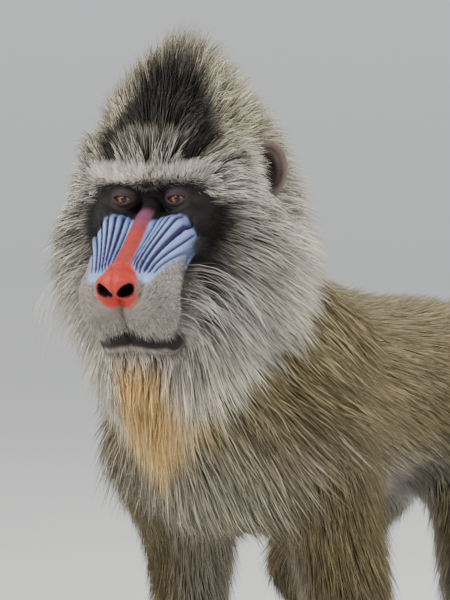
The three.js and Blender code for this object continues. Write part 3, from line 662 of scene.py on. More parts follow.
def surfaceOf(field, axes, coarse=4):
    # a coarse pass finds where the surface can be, and only there is the fine grid filled
    outside = 40.0
    coarseAxes = [a[::coarse] for a in axes]
    d = field(pointsOf(coarseAxes)).reshape([len(a) for a in coarseAxes])
    steps = [np.gradient(a)[::coarse] for a in axes]
    widest = np.maximum(np.maximum(steps[0][:, None, None], steps[1][None, :, None]), steps[2][None, None, :])
    near = np.abs(d) < widest * (coarse + 2.5)
    shape = [len(a) for a in axes]
    values = np.where(d < 0, -outside, outside).astype(np.float32)
    for k in range(3):
        values = np.repeat(values, coarse, axis=k)
        near = np.repeat(near, coarse, axis=k)
    values = np.ascontiguousarray(values[: shape[0], : shape[1], : shape[2]])
    near = near[: shape[0], : shape[1], : shape[2]]
    values[near] = field(pointsOf(axes, near))
    grid = openvdb.FloatGrid(outside)
    grid.copyFromArray(values)
    points, quads = grid.convertToQuads(0.0)
    places = np.column_stack([np.interp(points[:, k], np.arange(shape[k]), axes[k]) for k in range(3)])
    # the quads are turned round if they face inwards
    a, b, c, e = (places[quads[:, k]] for k in range(4))
    if np.einsum("ij,ij->i", a, np.cross(b, c) + np.cross(c, e)).sum() < 0:
        quads = quads[:, ::-1]
    return places.astype(np.float32), quads


def smoothShade(mesh):
    mesh.polygons.foreach_set("use_smooth", np.ones(len(mesh.polygons), bool))


def meshOf(name, points, faces):
    mesh = bpy.data.meshes.new(name)
    mesh.vertices.add(len(points))
    mesh.vertices.foreach_set("co", np.asarray(points, np.float32).ravel())
    size = faces.shape[1]
    mesh.loops.add(faces.size)
    mesh.loops.foreach_set("vertex_index", faces.astype(np.int32).ravel())
    mesh.polygons.add(len(faces))
    mesh.polygons.foreach_set("loop_start", np.arange(0, faces.size, size, dtype=np.int32))
    mesh.update(calc_edges=True)
    smoothShade(mesh)
    return mesh


def addVectors(mesh, name, values):
    attribute = mesh.attributes.new(name, "FLOAT_VECTOR", "POINT")
    attribute.data.foreach_set("vector", np.asarray(values, np.float32).ravel())


def addNumbers(mesh, name, values):
    attribute = mesh.attributes.new(name, "FLOAT", "POINT")
    attribute.data.foreach_set("value", np.asarray(values, np.float32))


def readVectors(mesh, name):
    values = np.empty(len(mesh.vertices) * 3, np.float32)
    mesh.attributes[name].data.foreach_get("vector", values)
    return values.reshape(-1, 3)


def closeMesh(mesh):
    # merges the doubled corners at poles and turns the faces outwards
    shape = bmesh.new()
    shape.from_mesh(mesh)
    bmesh.ops.remove_doubles(shape, verts=shape.verts, dist=1e-6)
    bmesh.ops.recalc_face_normals(shape, faces=shape.faces)
    shape.to_mesh(mesh)
    shape.free()
    smoothShade(mesh)


def makeSkinShells():
    shells = []
    back, low, overlap = skinSplit["faceBack"], skinSplit["endHeight"], skinSplit["overlap"]

    def bodyShell(p):
        d = fleshField(p, allParts)
        d = np.maximum(d, back - overlap - toHead(p)[:, 1])
        return np.maximum(d, low - overlap - p[:, 2])

    step = skinSplit["bodyStep"]
    axes = [
        axis([(-150, step), (150, 0)]),
        axis([(-400, step), (225, skinSplit["rumpStep"]), (350, 0)]),
        axis([(60, step), (730, 0)]),
    ]
    shells.append(surfaceOf(bodyShell, axes))
    report(f"body shell has {len(shells[-1][1])} faces")

    def faceShell(q):
        d = softMin(headField(q), sculpt(fromHead(q), neckForms), partBlend["head"])
        return np.maximum(d, q[:, 1] - back)

    axes = [
        axis([(-90, 2.6), (-52, 1.25), (52, 2.6), (90, 0)]),
        axis([(-132, 1.25), (-12, 2.2), (back + 3, 0)]),
        axis([(-165, 2.8), (-112, 1.4), (-13, 0.85), (12, 2.2), (30, 3.6), (84, 0)]),
    ]
    points, quads = surfaceOf(faceShell, axes)
    shells.append((fromHead(points), quads))
    report(f"face shell has {len(quads)} faces")

    step = skinSplit["handStep"]
    for side, _ in sides:
        for parts, joint, (x0, x1, y0, y1) in (
            (armParts[side], armJoints(side)[2], skinSplit["handBox"]),
            (legParts[side], legJoints(side)[2], skinSplit["footBox"]),
        ):

            def endShell(p, parts=parts):
                return np.maximum(fleshField(p, parts), p[:, 2] - low)

            lowX, highX = sorted((joint[0] + side * x0, joint[0] + side * x1))
            axes = [
                axis([(lowX, step), (highX, 0)]),
                axis([(joint[1] + y0, step), (joint[1] + y1, 0)]),
                axis([(-3, 2.0), (30, 3.4), (low + 4, 0)]),
            ]
            shells.append(surfaceOf(endShell, axes))
    report(f"hands and feet have {sum(len(q) for _, q in shells[2:])} faces")
    return shells


def joinShells(shells):
    # the kind of a corner is 0 on the body's shell, 1 on the face's and 2 on hands and feet
    points, faces, kinds, start = [], [], [], 0
    for number, (p, q) in enumerate(shells):
        points.append(p)
        faces.append(q + start)
        kinds.append(np.full(len(p), min(number, 2)))
        start += len(p)
    return np.concatenate(points), np.concatenate(faces), np.concatenate(kinds)


# Where the hair of the head grows and how it lies. Lists run by the degrees above the level, or by how
# far behind the eyes a root is
hair = {
    "centre": -20.0,
    # the outline of the hair seen from the front: its reach from the centre
    "reach": [(-90, 238), (-83, 214), (-70, 182), (-51, 148), (-25, 134), (-10, 126), (22, 121), (36, 125),
              (52, 128), (71, 141), (84, 168), (90, 184)],
    # how much of that reach a root has, and how far back its tip lies
    "share": [(-60, 0.46), (-38, 0.66), (-14, 0.8), (4, 0.86), (22, 0.97), (36, 1.0), (74, 1.0), (110, 0.93)],
    "beardShare": [(-60, 0.55), (-38, 0.74), (-14, 0.9), (6, 1.0), (60, 1.0)],
    "tipBack": [(-60, -54), (-38, -32), (-14, 2), (4, 34), (36, 70), (74, 112), (110, 138)],
    "crestBack": [(-60, -54), (-38, -32), (-14, -2), (4, 24), (36, 54), (74, 102), (110, 136)],
    "beardBack": [(-60, -58), (-38, -33), (10, 14), (60, 58)],
    "beardDraw": 0.55,  # the beard's tips are drawn in to this share of their width
    "crestWiden": (12, 2),  # on the right and on the left
    "crestFront": 0.69,
    "earGap": (0.93, 0.78),  # on the right and on the left
    "earPlace": (62, 44, 24),
    "earClear": (40, 30, 28),
    "nearEar": 0.66,
    "bendOut": 13,
    "bendShift": (0, -5, 7),
    "longStand": (16, 14),
    "tuftLength": 25.0,
    "browLength": 7.0,
    "napeLength": 72.0,
    "napeStand": (24, 28),
    "whiskers": (46.0, 92.0),
}
# The coat of body and limbs. Limbs: length in front, how much longer behind, and how high it stands
bodyHair = {
    "trunkLength": 56.0,
    "trunkStand": 13,
    "mantleLength": 98.0,
    "mantleStand": 17.0,
    "tail": (36, 10),
    "upperArm": (44, 26, 12),
    "forearm": (34, 20, 8),
    "thigh": (46, 16, 11),
    "shin": (30, 12, 7),
    "ends": (11, 24),  # hands and feet: near the floor and at the wrist or ankle
    "endStand": 0.16,
    "rumpCentre": (0, 272, 408),
    "rumpShape": (1.0, 1.0, 0.86),
    "padCentre": (17, 260, 398),
    "padShape": (13, 14, 18),
}
coatColours = {
    "olive": (0.100, 0.083, 0.046),
    "oliveTip": (0.340, 0.275, 0.140),
    "crest": (0.007, 0.006, 0.006),
    "crestTip": (0.018, 0.015, 0.012),
    "rim": (0.112, 0.098, 0.068),
    "rimTip": (0.520, 0.470, 0.340),
    "tuft": (0.030, 0.026, 0.020),
    "tuftTip": (0.175, 0.156, 0.122),
    "cheek": (0.130, 0.115, 0.085),
    "cheekTip": (0.740, 0.700, 0.600),
    # dark short fur beside the muzzle, darkened further as painted shadow of the gap to the ruff
    "darkFurAndShadow": (0.014, 0.011, 0.010),
    "darkFurAndShadowTip": (0.030, 0.026, 0.022),
    "beard": (0.420, 0.210, 0.060),
    "beardTip": (0.860, 0.610, 0.270),
    "beardSide": (0.360, 0.320, 0.250),
    "beardSideTip": (0.860, 0.820, 0.700),
    "belly": (0.200, 0.180, 0.140),
    "bellyTip": (0.540, 0.500, 0.420),
    "muzzle": (0.200, 0.182, 0.155),
    "muzzleTip": (0.740, 0.700, 0.625),
    "brow": (0.170, 0.150, 0.120),
    "browTip": (0.740, 0.700, 0.610),
    "whisker": (0.420, 0.390, 0.330),
    "whiskerTip": (0.850, 0.820, 0.760),
    "limb": (0.035, 0.028, 0.018),
    "limbTip": (0.180, 0.145, 0.080),
}
skinColours = {
    "hidden": (0.095, 0.078, 0.056),
    "mask": (0.010, 0.007, 0.0075),
    "lid": (0.050, 0.031, 0.032),
    "ridge": (0.300, 0.440, 0.760),
    "ridgeEdge": (0.170, 0.190, 0.450),
    "furrowShade": (0.032, 0.019, 0.090),
    "bridge": (0.430, 0.050, 0.040),
    "bridgeTop": (0.190, 0.060, 0.120),
    "nose": (0.520, 0.044, 0.030),
    "nostrilShade": (0.012, 0.004, 0.004),
    "muzzle": (0.240, 0.205, 0.178),
    "lip": (0.007, 0.004, 0.004),
    "mouth": (0.008, 0.004, 0.004),
    "hand": (0.026, 0.020, 0.019),
    "palm": (0.060, 0.042, 0.038),
    "rumpCentre": (0.560, 0.110, 0.150),
    "rumpViolet": (0.300, 0.150, 0.420),
    "rumpEdge": (0.250, 0.300, 0.600),
    "pad": (0.330, 0.150, 0.160),
    "ear": (0.170, 0.122, 0.106),
    "earBowlShade": (0.022, 0.014, 0.013),
}
bareMasks = ("ridges", "nose", "bridge", "mask", "lips")


def colour(table, name):
    return np.array(table[name], np.float32)


def blendColour(a, b, share):
    return a + (b - a) * np.clip(share, 0, 1)[:, None]


def coarseFlesh(p):
    d = sculpt(mirrored(p), torsoForms)
    d = softMin(d, sculpt(p, neckForms), 30)
    d = softMin(d, sculpt(mirrored(toHead(p)), headForms), 20)
    d = softMin(d, sculpt(p, tailForms), 10)
    for s, _ in sides:
        for forms in (upperArmForms(s), forearmForms(s), thighForms(s), shinForms(s)):
            d = softMin(d, sculpt(p, forms), 14)
    return d


def slopeOf(field, p, d, step=1.5):
    rows = []
    for k in range(3):
        q = p.copy()
        q[:, k] += step
        rows.append(field(q) - d)
    return unit(np.column_stack(rows))


def holdOff(p, height, push=1.0, pull=0.0):
    # moves points off the flesh until they stand at the given height over it
    p = p.astype(np.float32)
    for _ in range(2):
        d = coarseFlesh(p)
        short = height - d
        short = np.where(short > 0, short * push, short * pull)
        p = p + slopeOf(coarseFlesh, p, d) * short[:, None]
    return p


def combOver(flow, normals, keep):
    # turns a direction until it runs along the skin
    return unit(flow - normals * np.einsum("ij,ij->i", flow, normals)[:, None] * keep)


def smoothOver(values, faces, rounds):
    # evens out values from each corner of the skin to its neighbours
    a = faces.ravel()
    b = np.roll(faces, -1, axis=1).ravel()
    ends = np.concatenate((a, b))
    others = np.concatenate((b, a))
    size = len(values)
    count = np.maximum(np.bincount(ends, minlength=size), 1)
    for _ in range(rounds):
        total = columns(*[np.bincount(ends, v[others], minlength=size) for v in values.T])
        values = 0.35 * values + 0.65 * total / count[:, None]
    return values


def faceMasks(q):
    # what each part of the face is, from 0 to 1
    x, y, z = q.T
    mx, ms, mh = muzzlePlace(q)
    side = np.abs(x)
    ridgeTop = 21 + 11 * ((mx - 27) / 18) ** 2
    ridgeEdge = along([(30, 49), (60, 44), (84, 36), (108, 29)], ms)
    ridgeFoot = lerp(94, 109, ease(8, 20, mx))
    ridges = ease(2, -4, mx - ridgeEdge) * ease(-3, 4, ms - ridgeTop) * ease(2, -3, ms - ridgeFoot)
    noseHalf = along([(90, 7), (98, 12), (108, 18)], ms)
    # the dark zone beside the muzzle: dark short fur, darkened further by painted shadow of the gap between
    # the muzzle and the ruff
    darkFurAndShadow = ease(-50, -34, y) * ease(16, 4, y) * ease(4, -8, z) * ease(-122, -100, z)
    fromMouth = mh - mouthLine(mx)
    return {
        "ridges": ridges * ease(-36, -28, mh),
        "nose": ease(90, 96, ms) * ease(1.16, 0.88, np.hypot(mx / noseHalf, np.minimum(mh + 7, 0) / 17)),
        "bridge": ease(12, 8, mx) * ease(6, 12, ms) * ease(-20, -14, mh),
        "mask": ease(1.12, 0.94, np.hypot((side - 23) / 29, (z + 6) / 19)) * ease(14, 11, z) * (y < 14),
        "lips": ease(4.5, 2, fromMouth) * ease(-16, -11, fromMouth) * ease(90, 99, ms),
        "mouth": ease(2.4, 1.2, np.abs(fromMouth)) * ease(88, 98, ms),
        "brow": ease(10, 14, z) * ease(31, 26, z) * ease(12, 2, y) * ease(62, 54, side),
        "tuft": ease(25, 29, z) * ease(42, 34, z) * ease(28, 19, side) * ease(34, 18, y),
        "darkFurAndShadow": darkFurAndShadow * ease(32, 40, side),
        "chinFront": ease(-88, -108, z),
        "chin": ease(-13, -26, fromMouth) * ease(-94, -108, z),
        "muzzle": (mx, ms, mh),
    }


def headHair(q):
    # tips of the long hair of the head, in the head's frame
    x, y, z = q.T
    side = np.where(x < 0, -1.0, 1.0)
    angle = np.degrees(np.arctan2(z - hair["centre"], np.abs(x)))
    low = ease(-50, -72, angle)
    widen = np.where(x < 0, *hair["crestWiden"]) * ease(30, 48, angle) * ease(84, 68, angle)
    full = along(hair["reach"], angle) + widen
    full = full * lerp(along(hair["share"], y), along(hair["beardShare"], y), low)
    # the black front of the crest is shorter than the frosted hair behind it, and the ears show
    full = full * lerp(1, hair["crestFront"], ease(50, 22, y) * ease(44, 58, angle))
    byEar = ease(-6, 14, y) * ease(76, 60, y) * ease(0, 10, angle) * ease(42, 32, angle)
    full = full * lerp(1, np.where(x < 0, *hair["earGap"]), byEar)
    back = lerp(along(hair["tipBack"], y), along(hair["crestBack"], y), ease(38, 56, angle))
    back = lerp(back, along(hair["beardBack"], y), low)
    side = side * lerp(1, hair["beardDraw"], ease(-60, -84, angle))
    out = np.radians(angle)
    droop = np.maximum(np.cos(out), 0) * 13 * ease(-60, -30, angle)
    tips = columns(side * np.cos(out) * full, back, hair["centre"] + np.sin(out) * full - droop)
    return tips, angle


def layHead(q, normals, face):
    # tips and middles of the head's hair: long on crest, ruff, beard and nape, short on the face
    x, y, z = q.T
    longTips, angle = headHair(q)
    outwards = unit(columns(x, 0, z - hair["centre"]))
    longBend = lerp(q, longTips, 0.5) + outwards * hair["bendOut"] + np.array(hair["bendShift"])
    fromEar = np.linalg.norm((columns(np.abs(x), y, z) - hair["earPlace"]) / hair["earClear"], axis=1)
    byEar = ease(1.2, 0.75, fromEar)[:, None]
    longTips = lerp(longTips, lerp(q, longTips, hair["nearEar"]), byEar)
    longBend = lerp(longBend, lerp(q, longBend, hair["nearEar"]), byEar)
    onNape = ease(66, 132, y)[:, None]
    napeFlow = combOver(unit(columns(np.sign(x) * 0.25, 0.8, -0.62)), normals, 0.85)
    tipStand, bendStand = hair["napeStand"]
    longTips = lerp(longTips, q + napeFlow * hair["napeLength"] + normals * tipStand, onNape)
    longBend = lerp(longBend, q + napeFlow * hair["napeLength"] * 0.5 + normals * bendStand, onNape)

    # short fur: back over the face, down on the chin, up on the brow
    brow, tuft, chin = face["brow"], face["tuft"], face["chinFront"]
    flow = columns(np.sign(x) * (0.25 + 0.3 * ease(20, 60, np.abs(x))), 1, -0.2 - 0.9 * chin)
    flow = lerp(flow, columns(x * 0.012, -0.2, 1), brow[:, None])
    flow = combOver(flow, normals, 0.9)
    length = 3.2 + 7.5 * ease(-58, -8, y) + 6 * chin
    length = lerp(length, hair["browLength"], brow)
    lift = lerp(0.2, 0.42, brow)
    tips = q + flow * length[:, None] + normals * (length * lift)[:, None]
    bend = q + flow * (length * 0.4)[:, None] + normals * (length * (lift + 0.15))[:, None]

    forehead = ease(30, 52, z) * ease(-24, 6, y)
    cheek = ease(-16, 12, y) * (1 - 0.7 * face["darkFurAndShadow"])
    longHair = np.clip(np.maximum.reduce([forehead, cheek, face["chin"]]), 0, 1)
    longHair = longHair * (0.35 + 0.65 * longHair)
    tips = lerp(tips, longTips, longHair[:, None])
    bend = lerp(bend, longBend, longHair[:, None])
    tuftFlow = unit(columns(x * 0.03, -0.12, 1))
    tips = lerp(tips, q + tuftFlow * hair["tuftLength"] + normals * 5, tuft[:, None])
    bend = lerp(bend, q + tuftFlow * hair["tuftLength"] * 0.5 + normals * 7, tuft[:, None])
    return tips, bend, {"longHair": np.maximum(longHair, tuft), "angle": angle}


def layBody(p, normals, label, rumpGap):
    # the coat of trunk and limbs: where it points, how long it is and how high it stands
    n = len(p)
    flow, length, stand = np.zeros((n, 3)), np.zeros(n), np.zeros(n)

    def lay(name, direction, long, height):
        where = label == name
        flow[where] = np.broadcast_to(direction, (n, 3))[where]
        length[where] = np.broadcast_to(long, n)[where]
        stand[where] = np.broadcast_to(height, n)[where]

    flank = np.abs(normals[:, 0])
    rear = ease(-0.2, 0.8, normals[:, 1])
    byRump = lerp(0.3, 1, ease(66, 128, rumpGap))
    nearGround = lerp(0.45, 1, ease(70, 150, p[:, 2]))
    mantleFlow = columns(normals[:, 0] * 0.5, 0.5 + normals[:, 1] * 0.3, -0.62)
    backFlow = columns(0, 0.9, -0.5 * flank)
    lay("torso", backFlow, bodyHair["trunkLength"] * byRump, bodyHair["trunkStand"] * byRump)
    lay("neck", mantleFlow, bodyHair["mantleLength"], bodyHair["mantleStand"])
    lay("tail", (0, 0.30, 1.0), *bodyHair["tail"])
    limbFade = {"upperArm": 1, "forearm": nearGround, "thigh": byRump, "shin": nearGround}
    for s, name in sides:
        down = columns(s * 0.1, 0.15 + 0.3 * rear, -1)
        for part, fade in limbFade.items():
            long, longer, height = bodyHair[part]
            lay(part + name, down, (long + longer * rear) * fade, height * fade)
        short = lerp(*bodyHair["ends"], ease(30, 70, p[:, 2]))
        for part in ("hand", "foot"):
            lay(part + name, (0, -1, -0.45), short, bodyHair["endStand"] * short)
    belly = ease(360, 315, p[:, 2]) * (label == "torso")
    flow[:, 2] -= 0.5 * belly
    keep = 1 - 0.15 * ease(80, 110, p[:, 2])
    tangent = combOver(flow, normals, keep[:, None])
    tips = p + tangent * length[:, None] + normals * stand[:, None]
    bends = p + tangent * (0.5 * length)[:, None] + normals * (stand * 1.1)[:, None]
    # hands and feet keep their flat lie, and the rest follows the body's own forms
    body = ~((label == "head") | np.char.startswith(label, "hand") | np.char.startswith(label, "foot"))
    pull = ease(90, 160, p[body, 2])
    tips[body] = holdOff(tips[body], stand[body], 1.0, 0.8 * pull)
    bends[body] = holdOff(bends[body], stand[body] * 0.95, 1.0, 0.5 * pull)
    return tips, bends, belly


def describeCoat(p, faces, normals, kind):
    # everything that the coat needs to know at each corner of the skin
    q = toHead(p)
    label = np.array(allParts)[np.argmin(columns(*[partFields[name](p) for name in allParts]), axis=1)]
    onHead = label == "head"
    rumpGap = np.linalg.norm((p - np.array(bodyHair["rumpCentre"])) / np.array(bodyHair["rumpShape"]), axis=1)
    face = faceMasks(q)
    tips, bends, belly = layBody(p, normals, label, rumpGap)
    headTips, headBends, masks = layHead(q, normals @ headTurn.T, face)
    tips[onHead], bends[onHead] = fromHead(headTips)[onHead], fromHead(headBends)[onHead]
    far = onHead & (masks["longHair"] > 0.3)
    tipStand, bendStand = hair["longStand"]
    tips[far], bends[far] = holdOff(tips[far], tipStand), holdOff(bends[far], bendStand)

    # bare skin: ridges, nose, lips, eye mask, rump, palms and soles
    bareFace = np.maximum.reduce([face[k] for k in bareMasks])
    onRump = np.isin(label, ("torso", "thighLeft", "thighRight"))
    grow = (1 - bareFace * onHead) * (1 - ease(76, 60, rumpGap) * onRump)
    topSide = np.maximum(ease(0.0, 0.5, normals[:, 2]), ease(28, 44, p[:, 2]))
    ends = np.zeros(len(p), bool)
    for s, name in sides:
        for kindOfEnd, joint, back in (("hand", armJoints(s)[2], 0), ("foot", legJoints(s)[2], 30)):
            here = label == kindOfEnd + name
            ahead = joint[1] - p[:, 1] - back
            grow = np.where(here, topSide * ease(76, 44, ahead), grow)
            ends |= here
    # each shell of the skin grows hair only where it is the one that shows
    back, low = skinSplit["faceBack"], skinSplit["endHeight"]
    shows = np.where(kind == 0, (q[:, 1] > back - 1) & (p[:, 2] > low - 1), kind == 1)
    shows = np.where(kind == 1, q[:, 1] < back - 0.6, shows)
    grow = grow * np.where(kind == 2, p[:, 2] < low - 0.6, shows)

    vectors = smoothOver(np.column_stack((tips - p, bends - p)), faces, 4)
    masks.update(face)
    masks.update({"rumpGap": rumpGap, "rump": ease(96, 82, rumpGap) * onRump, "belly": belly, "ends": ends})
    return {
        "place": p,
        "headPlace": q,
        "faces": faces,
        "label": label,
        "grow": grow,
        "kind": kind,
        "masks": masks,
        "tip": vectors[:, :3],
        "middle": vectors[:, 3:],
        "broad": 0.75 + 0.25 * ease(0, 60, np.linalg.norm(vectors[:, :3], axis=1)),
        "normals": normals,
    }


def layWhiskers(coat):
    # long bristles from the sides of the muzzle that sweep out, back and down
    q = coat["headPlace"]
    mx, ms, mh = coat["masks"]["muzzle"]
    side = np.sign(q[:, 0])
    length = lerp(*hair["whiskers"], ease(112, 70, ms))[:, None]
    grow = ease(20, 28, mx) * ease(48, 60, ms) * ease(112, 100, ms) * ease(-18, -26, mh) * ease(-64, -56, mh)
    count = len(q)
    whiskers = dict(coat)
    whiskers["grow"] = grow * (coat["label"] == "head") * (coat["kind"] == 1)
    whiskers["tip"] = turnFromHead(columns(side * 0.72, 0.30, -0.60) * length)
    whiskers["middle"] = turnFromHead(columns(side * 0.60, 0.10, 0.06) * length)
    whiskers["broad"] = np.ones(count)
    whiskers["rootTint"] = np.tile(colour(coatColours, "whisker"), (count, 1))
    whiskers["tipTint"] = np.tile(colour(coatColours, "whiskerTip"), (count, 1))
    whiskers["banded"] = np.zeros(count)
    return whiskers


def paintCoat(coat):
    # root and tip colours of the hair, and how strongly it is banded, for each corner of the skin
    m, p, label = coat["masks"], coat["place"], coat["label"]
    x, y, z = coat["headPlace"].T
    normals, angle = coat["normals"], m["angle"]
    root = np.tile(colour(coatColours, "olive"), (len(p), 1))
    tip = np.tile(colour(coatColours, "oliveTip"), (len(p), 1))
    banded = np.ones(len(p))

    def paint(name, share, bands):
        nonlocal root, tip, banded
        root = blendColour(root, colour(coatColours, name), share)
        tip = blendColour(tip, colour(coatColours, name + "Tip"), share)
        banded = lerp(banded, bands, np.clip(share, 0, 1))

    innerLimb = np.zeros(len(p))
    for s, name in sides:
        limb = np.isin(label, [part + name for part in ("upperArm", "forearm", "thigh", "shin")])
        innerLimb = np.where(limb, ease(-0.1, 0.7, -s * normals[:, 0]), innerLimb)
    underside = ease(0.0, -0.75, normals[:, 2]) * (label == "torso")
    body = ~np.isin(label, ("head", "neck"))
    paint("limb", ease(330, 90, p[:, 2]) * body, 0.8)
    paint("belly", np.maximum(m["belly"], underside) * ease(-260, -150, p[:, 1]), 0.2)
    paint("belly", innerLimb * 0.6, 0.3)
    paint("belly", (label == "neck") * ease(-0.25, -0.8, normals[:, 1]) * ease(500, 420, p[:, 2]) * 0.7, 0.3)

    # the hair's outer rim is frosted, the front of the crest black, the cheeks pale, the beard yellow
    onHead = label == "head"
    low = ease(-62, -78, angle) * ease(50, 14, y)
    crestHalf = along([(26, 43), (50, 32), (70, 23), (95, 15)], z)
    for name, share, bands in (
        ("rim", ease(-60, -30, angle), 0.5),
        ("cheek", ease(52, 26, angle) * ease(-72, -54, angle) * ease(112, 58, y), 0.15),
        # beside the muzzle: dark short fur, with painted shadow of the gap to the ruff
        ("darkFurAndShadow", m["darkFurAndShadow"], 0.0),
        ("beardSide", ease(-50, -64, angle) * ease(60, 20, y) * (1 - m["darkFurAndShadow"]), 0.0),
        ("beard", low * ease(34, 14, np.abs(x)) * ease(-110, -128, z), 0.0),
        ("crest", ease(5, -5, np.abs(x) - crestHalf) * ease(54, 36, y) * ease(24, 31, z), 0.0),
        ("tuft", m["tuft"], 0.4),
        ("muzzle", (1 - m["longHair"]) * ease(24, 8, z) * (1 - m["darkFurAndShadow"]), 0.0),
        ("brow", m["brow"], 0.1),
    ):
        paint(name, share * onHead, bands)
    return root, tip, banded


def paintSkin(coat, root):
    m, q, p, label = coat["masks"], coat["headPlace"], coat["place"], coat["label"]
    x, y, z = q.T
    mx, ms, mh = m["muzzle"]
    face = (label == "head") & (coat["kind"] == 1)
    tint = np.minimum(root * 0.8, colour(skinColours, "hidden"))

    def paint(name, share):
        nonlocal tint
        tint = blendColour(tint, colour(skinColours, name), share)

    paint("muzzle", face * (1 - m["longHair"]) * ease(-4, -30, y) * ease(10, 0, z))
    paint("mask", face * ease(1.3, 0.95, np.hypot((np.abs(x) - 24) / 31, (z + 4) / 21)))
    # painted shadow: the skin beside the muzzle is painted near black as well
    paint("mask", face * m["darkFurAndShadow"] * 0.9)
    paint("lid", face * ease(1.15, 0.7, np.hypot((np.abs(x) - 25) / 13, (z - 1) / 8)) * 0.8)
    paint("ridge", face * m["ridges"])
    paint("ridgeEdge", face * m["ridges"] * np.maximum(ease(38, 46, mx), ease(40, 28, ms)) * 0.7)
    # painted shade in the furrows of the ridges, darker where a furrow is deeper
    paint("furrowShade", face * m["ridges"] * ease(0.35, 1.9, furrowDepth(mx, ms, mh)))
    onBridge = face * ease(9.0, 6.0, mx) * ease(-20, -12, mh) * ease(14, 24, ms)
    paint("bridgeTop", onBridge)
    paint("bridge", onBridge * ease(24, 58, ms))
    paint("nose", face * m["nose"])
    # painted shade inside the nostrils: near black in the holes
    paint("nostrilShade", face * ease(1.8, 0.4, nostrilField(q)))
    paint("lip", face * m["lips"])
    paint("mouth", face * m["mouth"])
    ends = m["ends"] | (coat["kind"] == 2)
    paint("hand", ends * 1.0)
    paint("palm", ends * ease(-0.2, -0.7, coat["normals"][:, 2]))
    paint("rumpEdge", m["rump"])
    paint("rumpViolet", m["rump"] * ease(74, 56, m["rumpGap"]))
    paint("rumpCentre", m["rump"] * ease(54, 30, m["rumpGap"]))
    fromPad = mirrored(p) - np.array(bodyHair["padCentre"])
    pad = np.linalg.norm(fromPad / np.array(bodyHair["padShape"]), axis=1)
    paint("pad", ease(1.25, 0.95, pad))
    return tint


# The skin's finish: mottle and streaks in its colour, pores and folds in its bump, and the shine where moist
skinFinish = {
    "mottleScale": 160.0,
    "mottleDark": 0.70,
    "mottleGain": 0.60,
    "streakScale": (1500, 260, 1),
    "streakGain": 4.2,
    "darkest": 0.12,
    "poreScale": 900.0,
    "poreHeight": 0.6,
    "foldScale": 420.0,
    "streakHeight": 2.2,
    "bumpStrength": 0.55,
    "bumpDepth": 0.0007,
    "roughness": 0.64,
    "moistShine": 0.28,
    "specular": 0.3,
}


def skinMaterial():
    material, tree, shader = newMaterial("skin")
    number = partial(shaderMath, tree)
    place = addNode(tree, "ShaderNodeTexCoord").outputs["Object"]
    furry = attributeOf(tree, "furry", "Fac")
    # fine streaks along the lie of the short fur
    inputs = {"Vector": attributeOf(tree, "lie", "Vector"), "Scale": skinFinish["streakScale"]}
    streaks = noiseOf(tree, addNode(tree, "ShaderNodeMapping", inputs).outputs[0], 1.0, 4.0)
    mottle = noiseOf(tree, place, skinFinish["mottleScale"], 5.0)
    shade = number("ADD", skinFinish["mottleDark"], number("MULTIPLY", mottle, skinFinish["mottleGain"]))
    streakGain = number("MULTIPLY", furry, skinFinish["streakGain"])
    stipple = number("MULTIPLY", number("SUBTRACT", streaks, 0.5), streakGain)
    shade = number("MAXIMUM", number("ADD", shade, stipple), skinFinish["darkest"])
    base = mixColours(tree, 1.0, attributeOf(tree, "tint"), greyOf(tree, shade), "MULTIPLY")
    tree.links.new(base, shader.inputs["Base Color"])
    inputs = {"Vector": place, "Scale": skinFinish["poreScale"]}
    pores = addNode(tree, "ShaderNodeTexVoronoi", inputs, feature="DISTANCE_TO_EDGE").outputs["Distance"]
    folds = noiseOf(tree, place, skinFinish["foldScale"], 3.0)
    height = number("ADD", number("MULTIPLY", pores, skinFinish["poreHeight"]), folds)
    streakHeight = number("MULTIPLY", furry, skinFinish["streakHeight"])
    height = number("ADD", height, number("MULTIPLY", streaks, streakHeight))
    inputs = {"Strength": skinFinish["bumpStrength"], "Distance": skinFinish["bumpDepth"], "Height": height}
    tree.links.new(addNode(tree, "ShaderNodeBump", inputs).outputs["Normal"], shader.inputs["Normal"])
    shine = number("MULTIPLY", attributeOf(tree, "moist", "Fac"), skinFinish["moistShine"])
    tree.links.new(number("SUBTRACT", skinFinish["roughness"], shine), shader.inputs["Roughness"])
    shader.inputs["Specular IOR Level"].default_value = skinFinish["specular"]
    return material


def makeSkin(material):
    points, faces, kind = joinShells(makeSkinShells())
    mesh = meshOf("skin", (points + standShift) * mm, faces)
    skin = addObject("skin", mesh)
    normals = np.empty(len(points) * 3, np.float32)
    mesh.vertex_normals.foreach_get("vector", normals)
    report(f"skin has {2 * len(faces)} triangles")
    coat = describeCoat(points, faces, normals.reshape(-1, 3), kind)
    coat["rootTint"], coat["tipTint"], coat["banded"] = paintCoat(coat)
    masks = coat["masks"]
    _, ms, mh = masks["muzzle"]
    bare = np.maximum.reduce([masks[k] for k in bareMasks])
    addVectors(mesh, "tint", paintSkin(coat, coat["rootTint"]))
    addVectors(mesh, "lie", columns(0.04 * np.arctan2(coat["headPlace"][:, 0], mh + 30), ms * mm, 0))
    addNumbers(mesh, "furry", (1 - bare) * (coat["label"] == "head") * (1 - 0.6 * masks["darkFurAndShadow"]))
    addNumbers(mesh, "moist", np.clip(masks["nose"] + 0.2 * masks["lips"] + 0.4 * masks["ridges"], 0, 1))
    mesh.materials.append(material)
    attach(skin, "root")
    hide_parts(*[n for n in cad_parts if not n.startswith(("eye_", "ear_"))])
    return coat


